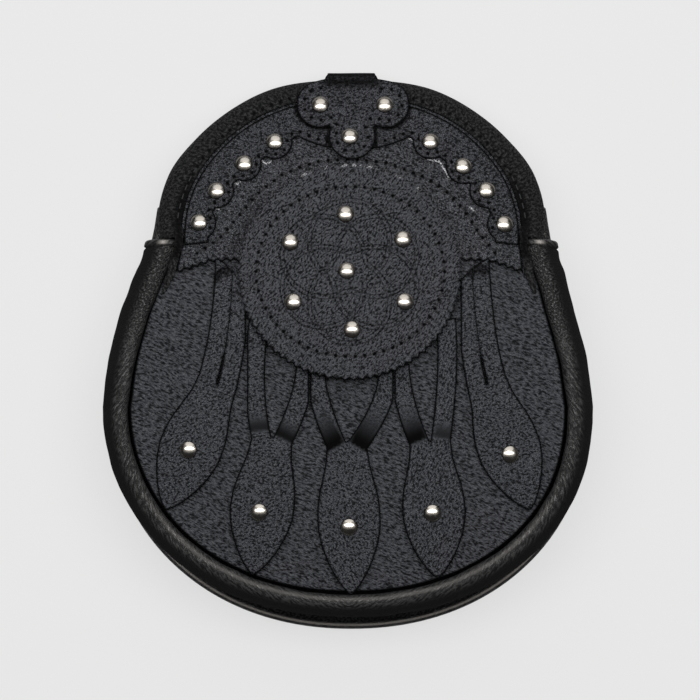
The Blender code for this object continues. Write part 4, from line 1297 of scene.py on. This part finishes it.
section = curved(BAND_SECTION, 44)
band_rows = []
for ends in BAND_STITCHED:
    angles = np.linspace(*ends, 160)
    band_rows.append(along(arc_point(angles, band_radius(angles, 2) + BAND_SEAM), STITCH_PITCH))
band_holes = np.vstack(band_rows)
band_rings = []
band_pricks = []
for angle in np.linspace(BAND_END, 180 - BAND_END, BAND_STEPS):
    outer = float(band_radius(angle, 1))
    width = outer - float(band_radius(angle, 2))
    from_tip = 90 - abs(90 - angle)
    low = BAND_LOW + (BAND_SIDE_LOW - BAND_LOW) * (1 - ease(3, 22, from_tip))
    radius = outer - width * (1 - section[:, 0])
    depth = section[:, 1]
    flat = arc_point(np.full(len(radius), angle), radius)
    top = float(front(*arc_point(angle, outer))) + BAND_BED + BAND_WALL
    face = front(*flat.T) + BAND_BED + BAND_WALL
    start = face + (top - face) * ease(0.0, 0.12, depth)
    from_inner = radius - (outer - width)
    on_face = 1 - ease(0.02, 0.2, depth)
    seam_dip = SEAM_DIP * np.exp(-(((from_inner - BAND_SEAM) / SEAM_HALF) ** 2))
    puff = BAND_PUFF * ease(BAND_SEAM, 3.2 * MM, from_inner)
    ripple = np.array([noise.noise((angle * 0.5, r / (3 * MM), 2.2)) for r in from_inner])
    pricked = prick(flat, band_holes) * on_face
    # Near its ends the band's inner part is painted dark: painted shade where it meets the flap
    shade = 0.9 * (1 - ease(0.2 * width, 0.5 * width, from_inner)) * (1 - ease(8, 24, from_tip))
    pricked = np.maximum(pricked, shade * on_face)
    edge_dip = BAND_EDGE_DIP * (1 - ease(0, BAND_EDGE, from_inner)) ** 2
    height = start - depth * (start - low)
    height += on_face * (
        puff - seam_dip + BAND_RIPPLE * ripple - BAND_PRICK * pricked - edge_dip
    )
    ring = wall(np.column_stack([radius, height]), -BAND_WALL * 0.9)
    place_on = arc_point(np.full(len(ring), angle), ring[:, 0])
    band_rings.append(np.column_stack([place_on, ring[:, 1]]))
    band_pricks.append(np.append(pricked, np.zeros(len(pricked))))
top_band = skin(
    "top_band_leather", np.array(band_rings)[:, ::-1], soft_leather,
    hole=np.array(band_pricks)[:, ::-1],
)
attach(top_band, "root")
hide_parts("top_band")


def tail_bed(points):
    return BED + (BAND_BED + 0.5 * GAP - BED) * ease(*TAIL_RISE, points[:, 1])


for side, name in ((-1, "band_tail_left"), (1, "band_tail_right")):
    tail_y = np.linspace(BAND_TAIL[0][0], BAND_TAIL[-1][0], 50) * MM
    tail_x = middle(tail_y) + side * read(BAND_TAIL, tail_y)
    tail_half = read(BAND_TAIL, tail_y, 2) / 2
    # The tail's upper part is painted dark: painted shadow under the roll's cap
    tail = leather(
        name, np.vstack([
            np.column_stack([tail_x - tail_half, tail_y]),
            np.column_stack([tail_x + tail_half, tail_y])[::-1],
        ]), laid(tail_bed, TAIL_WALL), 1 * MM, soft_leather,
        creases=[(np.column_stack([tail_x, tail_y])[28:], 0.0, 2.6 * MM, 0.9)],
    )
    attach(tail, "root")
    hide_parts("top_band")


def band_face(points):
    return front(*points.T) + BAND_BED + BAND_WALL - 0.25 * MM


sew("band_stitching", [(row, False) for row in band_rows], band_face)

# ---------------------------------------------------------------------------------------------
# Yoke: an overlay of thinner grained leather along the top, cut into lobes round its studs and
# one long scallop under the trefoil. It is sewn close to its edge.

YOKE_WALL = 1.0 * MM
LOBE_RADIUS = 6.4 * MM
CUSP_DEPTH = 3.4 * MM
YOKE_START = -6.5
YOKE_TUCK = 0.9 * MM
SCALLOP_CENTRE = np.array((1.9, 117.4)) * MM
SCALLOP_RADIUS = 44.7 * MM
YOKE_SEAM = 1.9 * MM
# Studs of the yoke, from its left end: x, y
YOKE_STUDS = (
    (-54.5, 46.3), (-48.1, 57.9), (-38.1, 67.8), (-26.9, 75.8),
    (29.7, 75.8), (41.6, 66.8), (50.2, 58.0), (56.6, 45.7),
)
TREFOIL_HUB = np.array((0.9, 86.5)) * MM
LOBES_END = 142.0
# Lobes of the trefoil that is sewn on the yoke: x, y, radius
LOBES = ((-10.5, 89.4, 8.5), (13.5, 89.4, 8.6), (1.2, 77.8, 8.5), (1.2, 86.0, 9.5))


def disc_reach(angle, centre, disc, radius, nearest):
    """Where a ray from a centre first or last meets a disc; far away where it misses."""
    offset = np.asarray(disc) - centre
    away = math.hypot(*offset)
    turn = np.radians(angle) - math.atan2(offset[1], offset[0])
    inside = radius**2 - (away * np.sin(turn)) ** 2
    missed = (inside < 0) | ((np.cos(turn) < 0) & (away > radius))
    reach = np.sqrt(np.maximum(inside, 0))
    met = away * np.cos(turn) + (-reach if nearest else reach)
    return np.where(missed, 1.0 if nearest else -1.0, met)


def yoke_radius(angle, inset=0.0):
    """The yoke's inner edge: lobes round its studs, cusps between, a long scallop on top."""
    studs = np.array(YOKE_STUDS) * MM
    offsets = studs - ARC_CENTRE
    turns = np.degrees(np.arctan2(offsets[:, 1], offsets[:, 0]))
    order = np.argsort(turns)
    line = np.interp(angle, turns[order], np.hypot(*offsets.T)[order])
    reaches = [line - CUSP_DEPTH + inset]
    for disc, radius in (*((stud, LOBE_RADIUS) for stud in studs), (SCALLOP_CENTRE, SCALLOP_RADIUS)):
        reaches.append(disc_reach(angle, ARC_CENTRE, disc, radius - inset, nearest=True))
    return np.min(reaches, axis=0)


tab_angles = np.linspace(LOBES_END, 540 - LOBES_END, 260)


def tab_line(inset=0.0):
    """The cut edge of the strap's three lobes, drawn in by an inset."""
    reaches = []
    for x, y, radius in LOBES:
        disc = np.array((x, y)) * MM
        reaches.append(disc_reach(tab_angles, TREFOIL_HUB, disc, radius * MM - inset, nearest=False))
    reach = np.max(reaches, axis=0)
    return TREFOIL_HUB + reach[:, None] * round_points(np.radians(tab_angles))


overlay_leather = hide(
    "overlay_black_leather", valley=(0.0024, 0.0025, 0.0028), crest=(0.0306, 0.0314, 0.0349),
    pitch=0.74 * MM, stretch=1.5, depth=0.34 * MM, roughness=0.45, sharp=0.1, cells=0.6, sway=2.5,
)
yoke_angles = np.linspace(YOKE_START, 180 - YOKE_START, 460)
yoke_inner = arc_point(yoke_angles, yoke_radius(yoke_angles))
yoke_outer = arc_point(yoke_angles, band_radius(yoke_angles, 2) - YOKE_TUCK)[::-1]
yoke_seam = arc_point(yoke_angles, yoke_radius(yoke_angles, YOKE_SEAM))
yoke_holes = along(yoke_seam[14:-14], STITCH_PITCH)
yoke_place = laid(YOKE_BED, YOKE_WALL)
# A dark band painted on the yoke round the trefoil's edge: painted shadow
yoke = leather(
    "yoke_leather", np.vstack([yoke_inner, yoke_outer]), yoke_place, 1.3 * MM, overlay_leather,
    holes=yoke_holes, creases=[(tab_line(-0.3 * MM), 0.15 * MM, 1.3 * MM, 0.85)], turn=9,
    relief=rumpled(10 * MM, 0.14 * MM, seed=8.8),
)
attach(yoke, "root")
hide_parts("yoke")
sew("yoke_stitching", [(yoke_holes, False)], over(yoke_place))

# ---------------------------------------------------------------------------------------------
# Roundel: a disc of pebbled leather with a pinked edge, sewn on the flap and lightly embossed
# with a plain interlace of two ribbons that pass round its studs.

ROUNDEL_WALL = 1.2 * MM
ROUNDEL_RADII = np.array((40.4, 39.1)) * MM
ROUNDEL_SEAM = np.array((34.2, 30.9)) * MM
ROUNDEL_SEAM_CENTRE = np.array((0.55, 28.5)) * MM
RIBBON_HALF = 0.75 * MM
RIBBON_REACH = (16.5 * MM, 9.5 * MM)
# A ribbon's pressed edge: its depth, its half width and how dark its painted shade is
RIBBON_PRESS = (0.16 * MM, 0.42 * MM, 0.66)
# Angles over which the rubbed teeth start and end, heights over which the edge's painted shade
# line fades
TEETH_START, TEETH_END = (44, 50), (114, 120)
EDGE_SHADE_FADE = (5 * MM, 30 * MM)


def ellipse(centre, radii, count):
    return centre + radii * round_points(np.linspace(0, 2 * math.pi, count, endpoint=False))


def roundel_bed(points):
    return YOKE_BED + snap_swell(points)


roundel_turn = np.linspace(0, 4 * math.pi, 400)
ribbon_reach = RIBBON_REACH[0] + RIBBON_REACH[1] * np.cos(1.5 * roundel_turn)
embossed = []
for start in (math.pi / 2, math.pi / 2 + math.pi / 3):
    ribbon = ROUNDEL_CENTRE + ribbon_reach[:, None] * round_points(roundel_turn + start)
    for side in (-1, 1):
        embossed.append((beside(ribbon, side * RIBBON_HALF, False), *RIBBON_PRESS))
roundel_holes = along(ellipse(ROUNDEL_SEAM_CENTRE, ROUNDEL_SEAM, 300), STITCH_PITCH, closed=True)
roundel_place = laid(roundel_bed, ROUNDEL_WALL)
roundel_line = pinked(ellipse(ROUNDEL_CENTRE, ROUNDEL_RADII, 400), PINK_PITCH, PINK_DEPTH, True)


def rubbed_teeth(points):
    """1 on the tips of the teeth along the top, where the flap's bend rubs them pale."""
    offset = points - ROUNDEL_CENTRE
    angle = np.degrees(np.arctan2(offset[:, 1], offset[:, 0]))
    share = np.hypot(*(offset / ROUNDEL_RADII).T)
    patchy = np.array([noise.noise((a / 4, 1.3, 7.1)) for a in angle])
    near = ease(0.975, 0.99, share) * (1 - ease(1.012, 1.02, share))
    above = ease(*TEETH_START, angle) * (1 - ease(*TEETH_END, angle))
    return 0.5 * near * above * ease(0, 0.2, patchy)


def edge_shade(points):
    """How dark the painted shade line at the roundel's cut edge is: lighter towards its top."""
    return 0.3 + 0.7 * (1 - ease(*EDGE_SHADE_FADE, points[:, 1]))


roundel_leather = hide(
    "roundel_black_leather", valley=(0.003, 0.0031, 0.0034), crest=(0.0322, 0.0332, 0.0369),
    pitch=0.7 * MM, stretch=1.7, depth=0.36 * MM, roughness=0.45, sharp=0.12, cells=0.35,
)
roundel = leather(
    "roundel_leather", roundel_line, roundel_place, 1.3 * MM, roundel_leather,
    holes=roundel_holes, creases=embossed, turn=48, wear=rubbed_teeth,
    outlined=edge_shade, relief=rumpled(11 * MM, 0.14 * MM, seed=3.3),
)
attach(roundel, "root")
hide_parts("roundel")
sew("roundel_stitching", [(roundel_holes, True)], over(roundel_place))

# ---------------------------------------------------------------------------------------------
# Trefoil and hanging loop: one strap of the yoke's leather. Its three-lobed end is sewn on the
# yoke, its neck goes over the top, and its run down the back is the loop for a belt.

STRAP_WALL = 1.5 * MM
STRAP_BED = YOKE_BED + YOKE_WALL + 2 * GAP
STRAP_LEAVES_FRONT = 88.0 * MM
NECK_HALF = 8.7 * MM
NECK_CENTRE = 0.9 * MM
TREFOIL_SEAM = 2.7 * MM
# Along the strap: the neck's two bends, and back from its end the loop's two seams
NECK_BENDS = (97.5 * MM, 101.0 * MM)
LOOP_ROWS = (4 * MM, 8 * MM)
LOOP_THREAD = 0.75 * MM
# Length along the strap, half width of the neck where it grows out of the lobes
NECK = ((98.8, 9.7), (100.0, 9.4), (102.0, 8.7))
# Strap's inner face over the top: y, z
STRAP_BEND = (
    (92, 18.3), (95, 17.2), (97.6, 15.4), (99.2, 12.5), (99.5, 9.0), (98.9, 5.4), (97.0, 2.6),
    (94.5, 1.5), (90, 1.5), (24, 1.5),
)

strap_start = (STRAP_LEAVES_FRONT, float(front(NECK_CENTRE, STRAP_LEAVES_FRONT)) + STRAP_BED)
strap_corners = np.array([strap_start, *(np.array(STRAP_BEND) * MM)])
strap_line = np.vstack([curved(strap_corners[:-1], 80), strap_corners[-1]])
strap_lengths = STRAP_LEAVES_FRONT + lengths_of(strap_line)
bent_lengths = STRAP_LEAVES_FRONT + lengths_of(strap_corners)


def strap_point(s):
    return picked(strap_line, strap_lengths, s)


def strap_place(points):
    """Bend the flat strap: on the front it lies on the yoke, then it follows its path."""
    x, s = points.T
    low, high = laid(STRAP_BED, STRAP_WALL)(points)
    tilt = front(x, np.full(len(x), STRAP_LEAVES_FRONT)) - front(NECK_CENTRE, STRAP_LEAVES_FRONT)
    tilt = tilt * (1 - ease(bent_lengths[0], bent_lengths[4], s))
    step = 0.9 * MM
    bend = np.maximum(s, bent_lengths[0])
    ahead = strap_point(bend + step) - strap_point(bend - step)
    ahead /= np.linalg.norm(ahead, axis=1)[:, None]
    upright = ease(bent_lengths[0], bent_lengths[1], s)[:, None]
    out = np.column_stack([-ahead[:, 1], ahead[:, 0]]) * upright + np.array((0, 1)) * (1 - upright)
    out /= np.linalg.norm(out, axis=1)[:, None]
    here = strap_point(s)
    there = here + STRAP_WALL * out
    bent = (s > bent_lengths[0])[:, None]
    inner = np.column_stack([x, here[:, 0], here[:, 1] + tilt])
    outer = np.column_stack([x, there[:, 0], there[:, 1] + tilt])
    return np.where(bent, inner, low), np.where(bent, outer, high)


strap_end = bent_lengths[-1]
neck = [(s * MM, half * MM) for s, half in NECK] + [(strap_end - NECK_HALF, NECK_HALF)]
end_turn = np.linspace(0, math.pi, 30)[1:-1]
strap_cut = np.vstack([
    tab_line(),
    [(NECK_CENTRE + half, s) for s, half in neck],
    (NECK_CENTRE, strap_end - NECK_HALF) + NECK_HALF * round_points(end_turn),
    [(NECK_CENTRE - half, s) for s, half in reversed(neck)],
])
tab_holes = along(tab_line(TREFOIL_SEAM), STITCH_PITCH * 1.1)
loop_rows = [
    np.array([(NECK_CENTRE + i * STITCH_PITCH, strap_end - row) for i in (-1.5, -0.5, 0.5, 1.5)])
    for row in LOOP_ROWS
]


def strap_rumple(points):
    """Rumple the strap, but not where the pouch lies on it."""
    hanging = 1 - ease(bent_lengths[5], bent_lengths[7], points[:, 1])
    return rumpled(8 * MM, 0.14 * MM, seed=6.1)(points) * hanging


# Where the neck bends over the top it is painted dark and dull: painted shade
strap_bends = []
for s in NECK_BENDS:
    across = np.array([(NECK_CENTRE - NECK_HALF, s), (NECK_CENTRE + NECK_HALF, s)])
    strap_bends.append((across, 0.0, 4 * MM, 0.9))
strap = leather(
    "trefoil_strap_leather", strap_cut, strap_place, 1.2 * MM, overlay_leather,
    creases=strap_bends, holes=np.vstack([tab_holes, *loop_rows]), turn=14, rounding=0.5 * MM,
    relief=strap_rumple,
)
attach(strap, "root")
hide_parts("trefoil_strap")
sew("trefoil_stitching", [(tab_holes, False)], over(strap_place))


def loop_face(points):
    return np.full(len(points), LOOP_THREAD)


# On the back the strap's face looks down, so its stitches bow downwards
sew(
    "loop_stitching", [(strap_place(row)[1][:, :2], False) for row in loop_rows], loop_face,
    rise=-0.2 * MM,
)

# ---------------------------------------------------------------------------------------------
# Studs: domed nickel rivets set through the yoke, the trefoil, the roundel and the leaves. Each
# has a thin turned rim that presses into the leather.

STUD_RADIUS = 3.1 * MM
# Other studs by what they are set in: x, y
TREFOIL_STUDS = ((-10.4, 89.2), (13.1, 89.2), (0.4, 77.6))
ROUNDEL_STUDS = (
    (-1.2, 49.4), (19.7, 40.2), (20.4, 17.6), (1.2, 7.5), (-20.2, 17.5), (-21.3, 39.2),
    (-0.7, 28.8),
)
LEAF_STUDS = ((-58.2, -36.2), (-32.5, -58.8), (0.1, -64.2), (30.4, -59.1), (58.6, -37.8))
STUD_BASE = 0.6 * MM
STUD_DOME = 1.2 * MM
# Outline of a stud from its foot: share of its radius and height, then shares on its dome
STUD_RIM = ((0.92, -0.25 * MM), (1.0, -0.1 * MM), (1.0, STUD_BASE - 0.15 * MM))
STUD_ROWS = (0.985, 0.94, 0.87, 0.78, 0.68, 0.57, 0.45, 0.33, 0.2, 0.08)


def stud_tree():
    """Node tree: the turned stud stands on each point, square to the leather there."""
    tree, given = geometry_tree(
        "set_studs", (("Seats", "Geometry"), ("Stud", "Object"), ("Metal", "Material")), "Studs",
    )
    out = wired(tree, "GeometryNodeInputNamedAttribute", ("Name", "out"), data_type="FLOAT_VECTOR")
    aim = wired(
        tree, "FunctionNodeAlignRotationToVector",
        ("Vector", vector_socket(out.outputs, "Attribute")), axis="Z",
    )
    turned = wired(tree, "GeometryNodeObjectInfo", ("Object", given["Stud"]))
    placed = wired(
        tree, "GeometryNodeInstanceOnPoints", ("Points", given["Seats"]),
        ("Instance", turned.outputs["Geometry"]), ("Rotation", aim.outputs[0]),
    )
    return tree_end(tree, placed.outputs[0], given["Metal"])


def turned_stud(sides=28):
    """One stud at the origin: a short upright rim under a part of a ball."""
    ball = (STUD_RADIUS**2 + STUD_DOME**2) / (2 * STUD_DOME)
    outline = [*STUD_RIM]
    for share in STUD_ROWS:
        rise = math.sqrt(ball**2 - (share * STUD_RADIUS) ** 2) - (ball - STUD_DOME)
        outline.append((share, STUD_BASE + rise))
    circle = round_points(np.linspace(0, 2 * math.pi, sides, endpoint=False))
    points = []
    for share, height in outline:
        points.extend((*(share * STUD_RADIUS * spot), height) for spot in circle)
    last = len(points) - sides
    crown, foot = len(points), len(points) + 1
    points.extend([(0, 0, STUD_BASE + STUD_DOME), (0, 0, outline[0][1])])
    faces = []
    for row in range(0, last, sides):
        for j in range(sides):
            k = (j + 1) % sides
            faces.append((row + j, row + k, row + sides + k, row + sides + j))
    for j in range(sides):
        k = (j + 1) % sides
        faces.append((last + j, last + k, crown))
        faces.append((k, j, foot))
    mesh = bpy.data.meshes.new("turned_stud")
    mesh.from_pydata(points, [], faces)
    # The stud's outer ring takes the painted shade
    rim_shade = [float(share > 0.95) for share, _ in outline for _ in range(sides)]
    mesh.attributes.new("rim", "FLOAT", "POINT").data.foreach_set("value", [*rim_shade, 0.0, 1.0])
    mesh.shade_smooth()
    return in_scene("turned_stud", mesh)


seats = []
outs = []
for spots, place in (
    (YOKE_STUDS, yoke_place), (TREFOIL_STUDS, strap_place), (ROUNDEL_STUDS, roundel_place),
    (LEAF_STUDS, laid(BED, LEAF_WALL)),
):
    spots = np.array(spots) * MM
    rise = over(place)
    slopes = [
        (rise(spots + step) - rise(spots - step)) / (2 * STUD_RADIUS)
        for step in ((STUD_RADIUS, 0), (0, STUD_RADIUS))
    ]
    normals = np.column_stack([-slopes[0], -slopes[1], np.ones(len(spots))])
    seats.extend(place(spots)[1].tolist())
    outs.extend(normals / np.linalg.norm(normals, axis=1)[:, None])
seat_mesh = bpy.data.meshes.new("stud_seats")
seat_mesh.from_pydata(seats, [], [])
seat_mesh.attributes.new("out", "FLOAT_VECTOR", "POINT").data.foreach_set("vector", np.ravel(outs))
one_stud = turned_stud()
seat_points = in_scene("stud_seats", seat_mesh)
studs = grown("nickel_studs", seat_points, stud_tree(), stud=one_stud, metal=nickel)
bpy.data.objects.remove(one_stud)
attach(studs, "root")
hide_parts(*[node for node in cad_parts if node.startswith("stud_")])

# ---------------------------------------------------------------------------------------------
# Table, light and camera: a plain pale surface, a soft light from beyond the pouch's top, a wide one
# overhead with a dim fill round it, and a camera straight over it.

FLOOR_HALF = 3
FLOOR_GLOW = 0.652
WORLD_GLOW = 0.06
VIEW_WIDTH = 254.45 * MM
VIEW_CENTRE = (0.44 * MM, 0.04 * MM)
VIEW_PLANE = 24.0 * MM
CAMERA_AWAY = 4.5
# Softboxes: name, shape, place, what it is aimed at, width and depth, watts
SOFTBOXES = (
    ("key_softbox", "ELLIPSE", (0.0, 1.7, 1.1), (0, 0, 0), (2.9, 1.9), 42),
    ("overhead_softbox", "ELLIPSE", (0.0, 0.28, 1.4), (0, 0.1, 0), (2.9, 0.78), 74),
    ("ceiling_softbox", "RECTANGLE", (0.0, 0.45, 1.15), (0, 0.45, 0), (3.4, 1.9), 14),
)

paper = Finish("pale_paper")
paper.set(
    Base_Color=(0.045, 0.045, 0.045, 1), Emission_Color=(1, 1, 1, 1), Emission_Strength=FLOOR_GLOW,
    Roughness=0.9, Specular_IOR_Level=0.1,
)
floor_mesh = bpy.data.meshes.new("pale_surface")
floor_mesh.from_pydata(
    [(x * FLOOR_HALF, y * FLOOR_HALF, 0) for x, y in ((-1, -1), (1, -1), (1, 1), (-1, 1))],
    [], [(0, 1, 2, 3)],
)
floor_mesh.materials.append(paper.material)
floor = in_scene("pale_surface", floor_mesh)

for name, shape, place, aim, size, power in SOFTBOXES:
    light = bpy.data.lights.new(name, "AREA")
    light.shape = shape
    light.size, light.size_y = size
    light.energy = power
    lamp = in_scene(name, light)
    lamp.location = place
    lamp.rotation_mode = "QUATERNION"
    lamp.rotation_quaternion = (Vector(place) - Vector(aim)).to_track_quat("Z", "Y")
world = bpy.data.worlds.new("studio")
world.use_nodes = True
world.node_tree.nodes["Background"].inputs["Color"].default_value = (1, 1, 1, 1)
world.node_tree.nodes["Background"].inputs["Strength"].default_value = WORLD_GLOW
bpy.context.scene.world = world
bpy.context.scene.view_settings.view_transform = "Standard"

camera_data = bpy.data.cameras.new("camera")
camera_data.sensor_width = 36.0
camera_data.lens = camera_data.sensor_width * CAMERA_AWAY / VIEW_WIDTH
camera = in_scene("camera", camera_data)
camera.location = (*VIEW_CENTRE, VIEW_PLANE + CAMERA_AWAY)
bpy.context.scene.camera = camera
